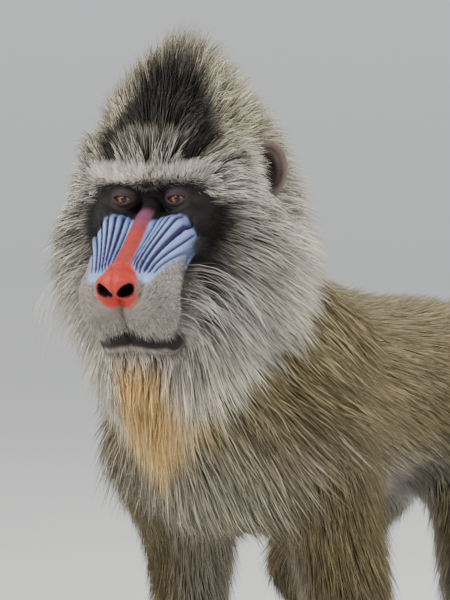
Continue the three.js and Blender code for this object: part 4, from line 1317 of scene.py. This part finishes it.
# Ears: a cup with a rolled rim and a second fold inside it; rim and fold as (radius, out, thickness)
ears = {
    "centre": (79, 72, 26),
    "turn": math.radians(54),
    "lean": math.radians(12),
    "outside": (11, 21, 28),
    "bowl": (12.5, 17.6, 24.2),
    "bowlAt": (8.4, 0, 1),
    "rim": (19.0, 2.6, 2.6),
    "fold": (11.5, -1.8, 2.3),
    "tall": 1.3,
    # where the painted shade in the ear's cup is centred, and how far it reaches
    "shadeAt": (3, -2, 0),
    "shade": (14, 15, 21),
    "box": (34, 34, 36),
    "step": 1.1,
}


def earField(q):
    # the left ear, which opens to the side and forward
    d = q - np.array(ears["centre"], np.float32)
    root = bar(d, (-34, 4, -6), (-4, 2, -4), 14, 9)
    c, s = math.cos(ears["turn"]), math.sin(ears["turn"])
    x, y = c * d[:, 0] - s * d[:, 1], s * d[:, 0] + c * d[:, 1]
    c, s = math.cos(ears["lean"]), math.sin(ears["lean"])
    local = np.column_stack((x, c * y - s * d[:, 2], s * y + c * d[:, 2])).astype(np.float32)
    shell = egg(local, (0, 0, 0), ears["outside"])
    cup = softMax(shell, -egg(local, ears["bowlAt"], ears["bowl"]), 2.4)
    ringY, ringZ = local[:, 1], local[:, 2] / ears["tall"]
    fromAxis = np.sqrt(ringY**2 + ringZ**2)

    def ring(radius, out, thick):
        return np.sqrt((fromAxis - radius) ** 2 + (local[:, 0] - out) ** 2) - thick

    fold = ring(*ears["fold"]) + 5 * ease(2, -6, ringY)
    cup = softMin(softMin(cup, ring(*ears["rim"]), 2), fold, 2.5)
    # the small flap in front of the bowl, and the hollow behind it
    cup = softMin(cup, egg(local, (3.5, -14.5, -7), (4.5, 3.6, 6.5)), 2.5)
    cup = softMax(cup, -egg(local, (-1, -6, -6), (9, 4.5, 5.5)), 2)
    return softMin(cup, root, 6)


def makeEars(material):
    step = ears["step"]
    axes = [axis([(c - half, step), (c + half, 0)]) for c, half in zip(ears["centre"], ears["box"])]
    points, quads = surfaceOf(earField, axes)
    for side, name in sides:
        placed = fromHead((points * (side, 1, 1)).astype(np.float32))
        faces = quads if side > 0 else quads[:, ::-1]
        mesh = meshOf("ear" + name, (placed + standShift) * mm, faces)
        # painted shade: the cup of the ear is painted darker inside
        shadeAt = np.array(ears["centre"]) + ears["shadeAt"]
        fromBowl = np.linalg.norm((points - shadeAt) / np.array(ears["shade"]), axis=1)
        tint = np.tile(colour(skinColours, "ear"), (len(points), 1))
        tint = blendColour(tint, colour(skinColours, "earBowlShade"), ease(1.05, 0.7, fromBowl))
        addVectors(mesh, "tint", tint)
        mesh.materials.append(material)
        ear = addObject("ear" + name, mesh)
        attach(ear, "root")
        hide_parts("ear_" + name.lower())


# Eyes: a ball turned about its line of sight, with the cornea standing out of it; pupil and iris are
# shares of a right angle from the line of sight
eyes = {
    "sight": (0.16, -1.0, -0.05),
    "gap": 0.15,
    "rings": 44,
    "sides": 48,
    "corneaEdge": 33,
    "corneaBulge": 0.9,
    "pupil": 0.15,
    "iris": 0.40,
    "pupilColour": (0.004, 0.003, 0.003, 1),
    "irisInner": (0.230, 0.110, 0.030, 1),
    "irisColour": (0.130, 0.055, 0.014, 1),
    "irisEdge": (0.040, 0.015, 0.005, 1),
    "ringColour": (0.015, 0.008, 0.006, 1),
    "white": (0.045, 0.027, 0.022, 1),
    "streakScale": 34.0,
    "streakDark": 0.55,
    "streakGain": 0.9,
    "roughness": 0.4,
    "specular": 0.1,
    "wetness": 0.7,
    "wetRoughness": 0.02,
}


def eyeMaterial():
    material, tree, shader = newMaterial("eye")
    number = partial(shaderMath, tree)
    angle = attributeOf(tree, "fromSight", "Fac")
    ramp = tree.nodes.new("ShaderNodeValToRGB")
    stops = ramp.color_ramp.elements
    stops[0].position, stops[0].color = 0.0, eyes["pupilColour"]
    stops[1].position, stops[1].color = 1.0, eyes["white"]
    for place, shade in (
        (eyes["pupil"] - 0.01, eyes["pupilColour"]),
        (eyes["pupil"] + 0.015, eyes["irisInner"]),
        (lerp(eyes["pupil"], eyes["iris"], 0.55), eyes["irisColour"]),
        (eyes["iris"] - 0.05, eyes["irisEdge"]),
        (eyes["iris"], eyes["ringColour"]),
        (eyes["iris"] + 0.04, eyes["white"]),
    ):
        stop = stops.new(place)
        stop.color = shade
    tree.links.new(angle, ramp.inputs[0])
    # streaks run out from the pupil
    turn = attributeOf(tree, "roundSight", "Fac")
    streakPlace = addNode(tree, "ShaderNodeCombineXYZ", {0: turn, 1: number("MULTIPLY", angle, 0.5)})
    streaks = noiseOf(tree, streakPlace.outputs[0], eyes["streakScale"], 3.0)
    shade = number("ADD", eyes["streakDark"], number("MULTIPLY", streaks, eyes["streakGain"]))
    base = mixColours(tree, 1.0, ramp.outputs["Color"], greyOf(tree, shade), "MULTIPLY")
    tree.links.new(base, shader.inputs["Base Color"])
    shader.inputs["Roughness"].default_value = eyes["roughness"]
    shader.inputs["Specular IOR Level"].default_value = eyes["specular"]
    shader.inputs["Coat Weight"].default_value = eyes["wetness"]
    shader.inputs["Coat Roughness"].default_value = eyes["wetRoughness"]
    return material


def makeEyes():
    material = eyeMaterial()
    rings, around = eyes["rings"], eyes["sides"]
    sight = unit(np.array(eyes["sight"], float))
    across = unit(np.cross(sight, (0, 0, 1)))
    rise = np.cross(across, sight)
    radius = head["eyeRadius"] - eyes["gap"]
    points, fromSight, roundSight, faces = [], [], [], []
    for r in range(rings + 1):
        angle = math.pi * (r / rings) ** 1.3
        bulge = eyes["corneaBulge"] * float(ease(eyes["corneaEdge"], 0, math.degrees(angle)))
        for k in range(around):
            turn = 2 * math.pi * k / around
            aside = math.cos(turn) * across + math.sin(turn) * rise
            out = math.cos(angle) * sight + math.sin(angle) * aside
            points.append(out * (radius + bulge))
            fromSight.append(angle / math.radians(90))
            roundSight.append(abs(turn / math.pi - 1))
    for r in range(rings):
        for k in range(around):
            a, b = r * around + k, r * around + (k + 1) % around
            faces.append((a, b, b + around, a + around))
    for side, name in sides:
        centre = np.array((side * head["eyeSpread"], 1, 0))
        placed = fromHead((np.array(points) + centre).astype(np.float32))
        mesh = meshOf("eye" + name, (placed + standShift) * mm, np.array(faces)[:, ::-1])
        addNumbers(mesh, "fromSight", fromSight)
        addNumbers(mesh, "roundSight", roundSight)
        closeMesh(mesh)
        mesh.materials.append(material)
        eye = addObject("eye" + name, mesh)
        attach(eye, "root")
        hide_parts("eye_" + name.lower())


# Nails: a thin arched plate on the tip of each digit; sizes are shares of the digit's radius
nails = {
    "length": 1.5,
    "width": 0.86,
    "thick": 0.32,
    "rise": 0.70,
    "arch": 0.42,
    "dip": 0.30,
    "back": 0.48,  # the share of its length that lies behind the tip
    "floorGap": 0.4,
    "rows": 7,
    "columns": 9,
    "dark": (0.030, 0.020, 0.016, 1),
    "pale": (0.085, 0.060, 0.045, 1),
    "grainScale": (900, 120, 120),
    "bumpStrength": 0.3,
    "bumpDepth": 0.0003,
    "roughness": 0.32,
}


def nailPoints(tip, before, radius):
    tip, before = np.array(tip, float), np.array(before, float)
    ahead = unit(tip - before)
    side = unit(np.cross(ahead, (0, 0, 1)))
    up = np.cross(side, ahead)
    rows, ringSize = nails["rows"], nails["columns"] * 2
    points = []
    for r in range(rows + 1):
        u = r / rows
        taper = 0.55 + 0.45 * math.sin(math.pi * min(u * 0.8 + 0.22, 1))
        edge = 1 if 0 < r < rows else 0.25
        for k in range(ringSize):
            turn = 2 * math.pi * k / ringSize
            wide = math.cos(turn) * nails["width"] * radius * taper
            thick = math.sin(turn) * nails["thick"] * radius * 0.5 * edge
            arch = -nails["arch"] * radius * (wide / (nails["width"] * radius)) ** 2
            forward = (u - nails["back"]) * nails["length"] * radius
            dip = -nails["dip"] * radius * u * u
            height = nails["rise"] * radius + thick + arch + dip
            points.append(tip + ahead * forward + side * wide + up * height)
    return points


def nailMaterial():
    material, tree, shader = newMaterial("nail")
    place = addNode(tree, "ShaderNodeTexCoord").outputs["Object"]
    stretched = addNode(tree, "ShaderNodeMapping", {"Vector": place, "Scale": nails["grainScale"]}).outputs[0]
    grain = noiseOf(tree, stretched, 1.0, 3.0)
    tree.links.new(mixColours(tree, grain, nails["dark"], nails["pale"]), shader.inputs["Base Color"])
    inputs = {"Strength": nails["bumpStrength"], "Distance": nails["bumpDepth"], "Height": grain}
    tree.links.new(addNode(tree, "ShaderNodeBump", inputs).outputs["Normal"], shader.inputs["Normal"])
    shader.inputs["Roughness"].default_value = nails["roughness"]
    return material


def makeNails():
    points, faces = [], []
    rows, ringSize = nails["rows"], nails["columns"] * 2
    for side, _ in sides:
        for kind, joint in (("hand", armJoints(side)[2]), ("foot", legJoints(side)[2])):
            for joints in allDigits(kind):
                (x0, y0, z0, _), (x1, y1, z1, r) = joints[-2], joints[-1]
                start = len(points)
                made = nailPoints((x1, y1 - r * 0.35, z1 + 0.8), (x0, y0, z0), r)
                points += [(joint[0] + side * x, joint[1] + y, max(z, nails["floorGap"])) for x, y, z in made]
                for row in range(rows):
                    for k in range(ringSize):
                        a, b = start + row * ringSize + k, start + row * ringSize + (k + 1) % ringSize
                        faces.append((a, b, b + ringSize, a + ringSize))
                # both ends are closed with strips across the ring
                for k in range(ringSize // 2 - 1):
                    for first, flip in ((start, 1), (start + rows * ringSize, -1)):
                        opposite = first + ringSize - 1 - k
                        around = [first + k, first + k + 1, opposite - 1, opposite]
                        faces.append(tuple(around[::flip]))
    mesh = meshOf("nails", (np.array(points, np.float32) + standShift) * mm, np.array(faces))
    closeMesh(mesh)
    mesh.materials.append(nailMaterial())
    piece = addObject("nails", mesh)
    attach(piece, "root")


# How a tuft is built, beside the inputs of its tree
tuftShape = {
    "roll": 1.9,  # how far tufts turn about their own line, in radians
    "thinnest": 0.6,
    "thicker": 0.8,
    "evenChance": 0.6,  # tufts whose chance is lower are shorter than usual, the others longer
    "clumpCurve": 1.4,
    "waveScatter": 0.006,
    "waveAlong": 0.6,
}


def furTree():
    # grows tufts on a scalp: each is a bent, tapered strand whose tip leans to its clump
    tree = bpy.data.node_groups.new("growCoat", "GeometryNodeTree")
    face = tree.interface
    face.new_socket(name="Geometry", in_out="OUTPUT", socket_type="NodeSocketGeometry")
    face.new_socket(name="Geometry", in_out="INPUT", socket_type="NodeSocketGeometry")
    face.new_socket(name="Strand", in_out="INPUT", socket_type="NodeSocketObject")
    face.new_socket(name="Material", in_out="INPUT", socket_type="NodeSocketMaterial")
    for name in (
        "Density",
        "Width",
        "Clump Spacing",
        "Clump Pull",
        "Length Variation",
        "Spread",
        "Wave",
        "Wave Scale",
        "Sink",
    ):
        face.new_socket(name=name, in_out="INPUT", socket_type="NodeSocketFloat")
    face.new_socket(name="Seed", in_out="INPUT", socket_type="NodeSocketInt")
    given = tree.nodes.new("NodeGroupInput").outputs
    number = partial(shaderMath, tree)

    def vector(op, a, b=None, scale=None):
        inputs = {0: a}
        if b is not None:
            inputs[1] = b
        if scale is not None:
            inputs["Scale"] = scale
        made = addNode(tree, "ShaderNodeVectorMath", inputs, operation=op)
        return made.outputs["Value" if op == "LENGTH" else "Vector"]

    def scaled(a, by):
        return vector("SCALE", a, scale=by)

    def added(a, *others):
        for b in others:
            a = vector("ADD", a, b)
        return a

    def times(a, *others):
        for b in others:
            a = number("MULTIPLY", a, b)
        return a

    def named(name, kind="FLOAT_VECTOR"):
        made = addNode(tree, "GeometryNodeInputNamedAttribute", {"Name": name}, data_type=kind)
        return made.outputs["Attribute"]

    def store(geometry, name, value, kind="FLOAT_VECTOR"):
        inputs = {"Geometry": geometry, "Name": name, "Value": value}
        made = addNode(tree, "GeometryNodeStoreNamedAttribute", inputs, data_type=kind, domain="POINT")
        return made.outputs["Geometry"]

    def randomVector(seed, low=-0.5, high=0.5):
        inputs = {0: (low,) * 3, 1: (high,) * 3, "Seed": seed}
        return firstOutput(addNode(tree, "FunctionNodeRandomValue", inputs, data_type="FLOAT_VECTOR"))

    def scatterOn(inputs, method):
        inputs = {"Mesh": given["Geometry"], "Seed": given["Seed"], **inputs}
        return addNode(tree, "GeometryNodeDistributePointsOnFaces", inputs, distribute_method=method).outputs

    # the roots, and the middles of the clumps that they lean to
    scatter = scatterOn({"Density": times(given["Density"], named("grow", "FLOAT"))}, "RANDOM")
    place = tree.nodes.new("GeometryNodeInputPosition").outputs[0]
    clumps = scatterOn({"Distance Min": given["Clump Spacing"], "Density Max": 200000.0}, "POISSON")["Points"]
    inputs = {"Geometry": clumps, "Sample Position": place}
    nearest = addNode(tree, "GeometryNodeSampleNearest", inputs, domain="POINT").outputs["Index"]
    inputs = {"Geometry": clumps, "Value": place, "Index": nearest}
    middle = addNode(tree, "GeometryNodeSampleIndex", inputs, data_type="FLOAT_VECTOR", domain="POINT")
    points = scatter["Points"]
    points = store(points, "clump", vector("SUBTRACT", middle.outputs["Value"], place))
    points = store(points, "clumpNumber", number("FRACT", times(nearest, 0.618034)), "FLOAT")
    points = store(points, "root", place)
    points = store(points, "upright", scatter["Normal"])
    points = store(points, "chance", randomVector(given["Seed"], 0.0, 1.0))
    points = store(points, "stray", randomVector(number("ADD", given["Seed"], 7)))
    points = store(points, "strayMiddle", randomVector(number("ADD", given["Seed"], 13)))

    strand = addNode(tree, "GeometryNodeObjectInfo", {"Object": given["Strand"]}, transform_space="ORIGINAL")
    inputs = {"Points": points, "Instance": strand.outputs["Geometry"]}
    placed = addNode(tree, "GeometryNodeInstanceOnPoints", inputs).outputs["Instances"]
    solid = addNode(tree, "GeometryNodeRealizeInstances", {"Geometry": placed}).outputs["Geometry"]

    # the curve of a tuft: a bend through its middle to its tip, leaning to the clump, with a wave
    t = named("along", "FLOAT")
    left = number("SUBTRACT", 1.0, t)
    chance = addNode(tree, "ShaderNodeSeparateXYZ", {0: named("chance")}).outputs
    ring = addNode(tree, "ShaderNodeSeparateXYZ", {0: named("ring")}).outputs
    long = vector("LENGTH", named("tip"))
    longer = times(number("SUBTRACT", chance[0], tuftShape["evenChance"]), given["Length Variation"])
    size = number("ADD", 1.0, longer)
    stray = times(long, given["Spread"])
    tip = added(scaled(named("tip"), size), scaled(named("stray"), stray))
    bend = added(scaled(named("middle"), size), scaled(named("strayMiddle"), times(stray, 0.5)))
    clump = scaled(named("clump"), given["Clump Pull"])
    curve = added(scaled(bend, times(t, left, 2.0)), scaled(tip, times(t, t)))
    curve = added(curve, scaled(clump, number("POWER", t, tuftShape["clumpCurve"])))
    wavePlace = added(named("root"), scaled(named("stray"), tuftShape["waveScatter"]))
    wavePlace = added(wavePlace, scaled(tip, times(t, tuftShape["waveAlong"])))
    inputs = {"Vector": wavePlace, "Scale": given["Wave Scale"], "Detail": 1.0}
    wave = vector("SUBTRACT", addNode(tree, "ShaderNodeTexNoise", inputs).outputs["Color"], (0.5, 0.5, 0.5))
    curve = added(curve, scaled(wave, times(long, given["Wave"], t)))

    # its section is turned about the curve, which gives each tuft its own broad side
    ahead = scaled(bend, number("SUBTRACT", 1.0, times(t, 2.0)))
    ahead = vector("NORMALIZE", added(ahead, scaled(tip, number("ADD", t, 0.02))))
    side = vector("NORMALIZE", vector("CROSS_PRODUCT", ahead, named("upright")))
    roof = vector("CROSS_PRODUCT", side, ahead)
    roll = times(number("SUBTRACT", chance[1], 0.5), tuftShape["roll"])
    turnedSide = added(scaled(side, number("COSINE", roll)), scaled(roof, number("SINE", roll)))
    turnedRoof = vector("CROSS_PRODUCT", turnedSide, ahead)
    thick = number("ADD", tuftShape["thinnest"], times(chance[2], tuftShape["thicker"]))
    width = times(given["Width"], thick, named("broad", "FLOAT"))
    section = added(scaled(turnedSide, ring[0]), scaled(turnedRoof, ring[1]))
    sunk = scaled(named("upright"), times(left, -1.0, given["Sink"]))
    spot = added(named("root"), sunk, curve, scaled(section, width))
    moved = addNode(tree, "GeometryNodeSetPosition", {"Geometry": solid, "Position": spot})
    inputs = {"Geometry": moved.outputs["Geometry"], "Material": given["Material"]}
    coated = addNode(tree, "GeometryNodeSetMaterial", inputs)
    tree.links.new(coated.outputs["Geometry"], tree.nodes.new("NodeGroupOutput").inputs[0])
    return tree


# Strands: rings of three corners from root to tip, as (place along it, share of its width)
strandRings = {
    "bristle": [(0, 1.0), (0.16, 1.0), (0.32, 0.95), (0.48, 0.85), (0.64, 0.7), (0.82, 0.5)],
    "long": [(0, 0.8), (0.3, 1.0), (0.66, 0.78)],
    "middle": [(0, 0.9), (0.48, 1.0)],
    "short": [(0, 1.0)],
}
strandSection = (0.5, 0.3)  # half a strand's width across and through


def makeStrand(name, rings):
    corners = [math.radians(a) for a in (90, 210, 330)]
    acrossHalf, throughHalf = strandSection
    alongs, ring = [], []
    for t, share in rings:
        for a in corners:
            alongs.append(t)
            ring.append((math.cos(a) * share * acrossHalf, math.sin(a) * share * throughHalf, 0))
    alongs.append(1.0)
    ring.append((0, 0, 0))
    faces = []
    for r in range(len(rings) - 1):
        for k in range(3):
            a, b = 3 * r + k, 3 * r + (k + 1) % 3
            faces.append((a, b, b + 3, a + 3))
    last, tipCorner = 3 * (len(rings) - 1), len(alongs) - 1
    faces += [(last + k, last + (k + 1) % 3, tipCorner) for k in range(3)]
    faces.append((2, 1, 0))
    mesh = bpy.data.meshes.new("strand_" + name)
    mesh.from_pydata([(x, y, t) for (x, y, _), t in zip(ring, alongs)], [], faces)
    addNumbers(mesh, "along", alongs)
    addVectors(mesh, "ring", ring)
    smoothShade(mesh)
    return bpy.data.objects.new("strand_" + name, mesh)


# How a piece of the coat grows, lengths in millimetres; a piece below changes what it needs
usualGrowth = {
    "strand": "long",
    "width": 1.2,
    "clump": 9,
    "pull": 0.65,
    "spread": 0.20,
    "variation": 0.56,
    "wave": 0.20,
    "waveScale": 26.0,
    "sink": 2.0,
    "slot": "coat",
}
coatPieces = {
    "crest": {"count": 9000, "clump": 10, "pull": 0.7, "wave": 0.22, "slot": "mane"},
    "ruffLeft": {"count": 9300, "width": 1.15, "slot": "mane"},
    "ruffRight": {"count": 9300, "width": 1.15, "slot": "mane"},
    "beard": {"count": 8000, "width": 1.1, "pull": 0.5, "spread": 0.14, "slot": "beard"},
    "nape": {"count": 5000, "width": 1.5, "clump": 12, "slot": "mane"},
    "mantleLeft": {"count": 6900, "width": 1.72, "clump": 13, "slot": "mane"},
    "mantleRight": {"count": 6900, "width": 1.72, "clump": 13, "slot": "mane"},
    "trunkLeft": {"strand": "short", "count": 21500, "width": 1.5, "clump": 11},
    "trunkRight": {"strand": "short", "count": 21500, "width": 1.5, "clump": 11},
    "arms": {"strand": "short", "count": 28000, "width": 1.25},
    "legs": {"strand": "short", "count": 28000, "width": 1.3},
    "tailTuft": {"strand": "middle", "count": 2000, "width": 1.3, "clump": 8},
    "brow": {"strand": "short", "count": 9000, "width": 0.6, "clump": 4, "pull": 0.3, "spread": 0.3},
    "faceFur": {"strand": "short", "count": 24000, "width": 0.6, "clump": 4, "pull": 0.3, "spread": 0.3},
    "endFur": {"strand": "short", "count": 17000, "width": 0.7, "clump": 6, "pull": 0.45},
    "whiskers": {
        "strand": "bristle",
        "count": 150,
        "width": 0.5,
        "pull": 0.0,
        "spread": 0.16,
        "wave": 0.02,
        "variation": 0.7,
    },
}


def piecePlaces(coat):
    # which piece of the coat each corner of the skin belongs to; the first that fits takes it
    m, label, q = coat["masks"], coat["label"], coat["headPlace"]
    bodyX = coat["place"][:, 0]
    onHead = label == "head"
    longHair = onHead & (m["longHair"] > 0.12)
    fits = [
        ("nape", longHair & (q[:, 1] > 98)),
        ("crest", longHair & (m["angle"] > 54)),
        ("beard", longHair & (m["angle"] < -47)),
        ("ruffLeft", longHair & (q[:, 0] >= 0)),
        ("ruffRight", longHair),
        ("brow", onHead & (m["brow"] > 0.3)),
        ("faceFur", onHead),
        ("mantleLeft", (label == "neck") & (bodyX >= 4)),
        ("mantleRight", label == "neck"),
        ("tailTuft", label == "tail"),
        ("trunkLeft", (label == "torso") & (bodyX >= 0)),
        ("trunkRight", label == "torso"),
        ("arms", (np.char.find(label, "Arm") > 0) | np.char.startswith(label, "forearm")),
        ("legs", np.char.startswith(label, "thigh") | np.char.startswith(label, "shin")),
    ]
    return np.select([where for _, where in fits], [name for name, _ in fits], "endFur")


def unwrapOf(name, p):
    # an unwrap of each piece's scalp: round its middle line one way, along it the other
    q = toHead(p)
    x, y, z = p.T
    side = np.sign(x)
    if name == "nape":
        return columns(np.arctan2(q[:, 0], q[:, 1] - 40), q[:, 2] + 0.45 * q[:, 1])
    if name in ("crest", "ruffLeft", "ruffRight", "beard", "faceFur", "brow", "whiskers"):
        return columns(np.arctan2(q[:, 0], 60 - q[:, 1]), q[:, 2] + 0.45 * q[:, 1])
    if name == "endFur":
        return columns(x + side * 40, y)
    if name in ("arms", "legs"):
        top, bend, end = (armJoints if name == "arms" else legJoints)(1)
        middleX = side * (top[0] + end[0]) / 2
        middleY = along([(end[2], end[1]), (bend[2], bend[1]), (top[2], top[1])], z)
        return columns(np.arctan2(x - middleX, y - middleY) + side * 3.3, z)
    if name.startswith("mantle"):
        return columns(np.arctan2(x, -(y + 240)), z)
    return columns(np.arctan2(x, z - 430), y)


# The bake's map: how large a tuft's patch is, and how far the patches keep from the edge
bakeMap = {"patch": 0.003, "edge": 0.02, "span": 0.96, "lowest": 0.01, "highest": 0.985}
# What only the tree needs, and the finished mesh does without
treeOnly = ("root", "upright", "clump", "stray", "strayMiddle", "ring", "tip", "middle", "grow", "broad")


def finishPiece(name, mesh):
    # each strand gets its own small patch of the bake's map, at its root's place
    roots = readVectors(mesh, "root") / mm - standShift
    ring = readVectors(mesh, "ring")
    alongs = np.empty(len(mesh.vertices), np.float32)
    mesh.attributes["along"].data.foreach_get("value", alongs)
    flat = unwrapOf(name, roots)
    low, high = np.percentile(flat, 0.2, axis=0), np.percentile(flat, 99.8, axis=0)
    place = bakeMap["edge"] + bakeMap["span"] * (flat - low) / np.maximum(high - low, 1e-6)
    place = np.clip(place, bakeMap["lowest"], bakeMap["highest"])
    patch = bakeMap["patch"]
    uv = place + np.column_stack((ring[:, 0] * patch, alongs * patch - patch / 2))
    loops = np.empty(len(mesh.loops), np.int32)
    mesh.loops.foreach_get("vertex_index", loops)
    layer = mesh.uv_layers.new(name="OFBake")
    layer.data.foreach_set("uv", uv[loops].astype(np.float32).ravel())
    for key in treeOnly:
        if key in mesh.attributes:
            mesh.attributes.remove(mesh.attributes[key])
    smoothShade(mesh)


def growPiece(name, part, coat, tree, strands, material):
    growth = dict(usualGrowth, **coatPieces[name])
    faces = coat["faces"]
    grows = (coat["grow"][faces] > 0.02).any(axis=1)
    chosen = faces[grows if name == "whiskers" else grows & (part[faces[:, 0]] == name)]
    used, compact = np.unique(chosen, return_inverse=True)
    mesh = meshOf(name + "Scalp", (coat["place"][used] + standShift) * mm, compact.reshape(chosen.shape))
    addVectors(mesh, "tip", coat["tip"][used] * mm)
    addVectors(mesh, "middle", coat["middle"][used] * mm)
    addVectors(mesh, "tint", coat["rootTint"][used])
    addVectors(mesh, "tipTint", coat["tipTint"][used])
    for key in ("grow", "broad", "banded"):
        addNumbers(mesh, key, coat[key][used])
    corners = coat["place"][chosen] * mm
    cross = np.cross(corners[:, 2] - corners[:, 0], corners[:, 3] - corners[:, 1])
    area = 0.5 * np.linalg.norm(cross, axis=1) * coat["grow"][chosen].mean(axis=1)
    scalp = addObject(name, mesh)
    modifier = scalp.modifiers.new("growCoat", "NODES")
    modifier.node_group = tree
    values = {
        "Strand": strands[growth["strand"]],
        "Material": material,
        "Density": growth["count"] / area.sum(),
        "Width": growth["width"] * mm,
        "Clump Spacing": growth["clump"] * mm,
        "Clump Pull": growth["pull"],
        "Length Variation": growth["variation"],
        "Spread": growth["spread"],
        "Wave": growth["wave"],
        "Wave Scale": growth["waveScale"],
        "Sink": growth["sink"] * mm,
        "Seed": list(coatPieces).index(name) + 3,
    }
    for item in tree.interface.items_tree:
        if item.in_out == "INPUT" and item.name in values:
            modifier[item.identifier] = values[item.name]
    depsgraph = bpy.context.evaluated_depsgraph_get()
    evaluated = scalp.evaluated_get(depsgraph)
    grown = bpy.data.meshes.new_from_object(evaluated, preserve_all_data_layers=True, depsgraph=depsgraph)
    scalp.modifiers.clear()
    scalp.data = grown
    bpy.data.meshes.remove(mesh)
    finishPiece(name, grown)
    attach(scalp, "root")
    return sum(len(f.vertices) - 2 for f in grown.polygons)


# The coat's finish: how it pales towards its tips, its bands, and how much its hairs and clumps differ
coatFinish = {
    "pale": [(0.12, 0.0), (0.88, 1.0)],
    "bands": [(0.0, 0.55), (0.30, 0.40), (0.46, 0.95), (0.68, 1.0), (0.80, 0.42), (1.0, 0.30)],
    "bandGain": 1.5,
    "bandShift": 0.3,
    "hairs": [(0.0, 0.30), (0.28, 0.50), (0.62, 0.78), (1.0, 1.0)],
    "hairGain": 1.7,
    "clumpDark": 0.75,
    "clumpGain": 0.5,
    "rootShade": 0.4,
    "roughness": 0.5,
    "specular": 0.35,
}


def coatMaterial():
    material, tree, shader = newMaterial("coat")
    number = partial(shaderMath, tree)
    alongs = attributeOf(tree, "along", "Fac")
    chance = addNode(tree, "ShaderNodeSeparateXYZ", {0: attributeOf(tree, "chance", "Vector")}).outputs
    pale = rampOf(tree, alongs, coatFinish["pale"])
    base = mixColours(tree, pale, attributeOf(tree, "tint"), attributeOf(tree, "tipTint"))
    hairs = rampOf(tree, chance[2], coatFinish["hairs"])
    clump = number("MULTIPLY", attributeOf(tree, "clumpNumber", "Fac"), coatFinish["clumpGain"])
    bright = number("MULTIPLY", hairs, number("ADD", clump, coatFinish["clumpDark"]))
    bright = number("MULTIPLY", bright, coatFinish["hairGain"])
    # speckled hair: each strand has a dark foot, a pale band and a dark tip, not all at one height
    shift = number("MULTIPLY", number("SUBTRACT", chance[1], 0.5), coatFinish["bandShift"])
    bands = rampOf(tree, number("ADD", alongs, shift), coatFinish["bands"])
    bands = number("MULTIPLY", bands, coatFinish["bandGain"])
    banding = mixColours(tree, attributeOf(tree, "banded", "Fac"), (1, 1, 1, 1), bands)
    # darker at the root, where the light can't reach
    depth = number("MULTIPLY", alongs, 1 - coatFinish["rootShade"])
    bright = number("MULTIPLY", bright, number("ADD", depth, coatFinish["rootShade"]))
    shaded = mixColours(tree, 1.0, base, greyOf(tree, bright), "MULTIPLY")
    tree.links.new(mixColours(tree, 1.0, shaded, banding, "MULTIPLY"), shader.inputs["Base Color"])
    shader.inputs["Roughness"].default_value = coatFinish["roughness"]
    shader.inputs["Specular IOR Level"].default_value = coatFinish["specular"]
    return material


def makeCoat(coat):
    strands = {name: makeStrand(name, rings) for name, rings in strandRings.items()}
    tree = furTree()
    material = coatMaterial()
    part = piecePlaces(coat)
    total = 0
    for name in coatPieces:
        grownFrom = layWhiskers(coat) if name == "whiskers" else coat
        count = growPiece(name, part, grownFrom, tree, strands, material)
        total += count
        report(f"{name} has {count} triangles")
    report(f"coat has {total} triangles")
    for strand in strands.values():
        bpy.data.objects.remove(strand)


makeStudio()
report("studio is ready")
bareMaterial = skinMaterial()
coat = makeSkin(bareMaterial)
makeEars(bareMaterial)
makeEyes()
makeNails()
report("ears, eyes and nails are made")
makeCoat(coat)
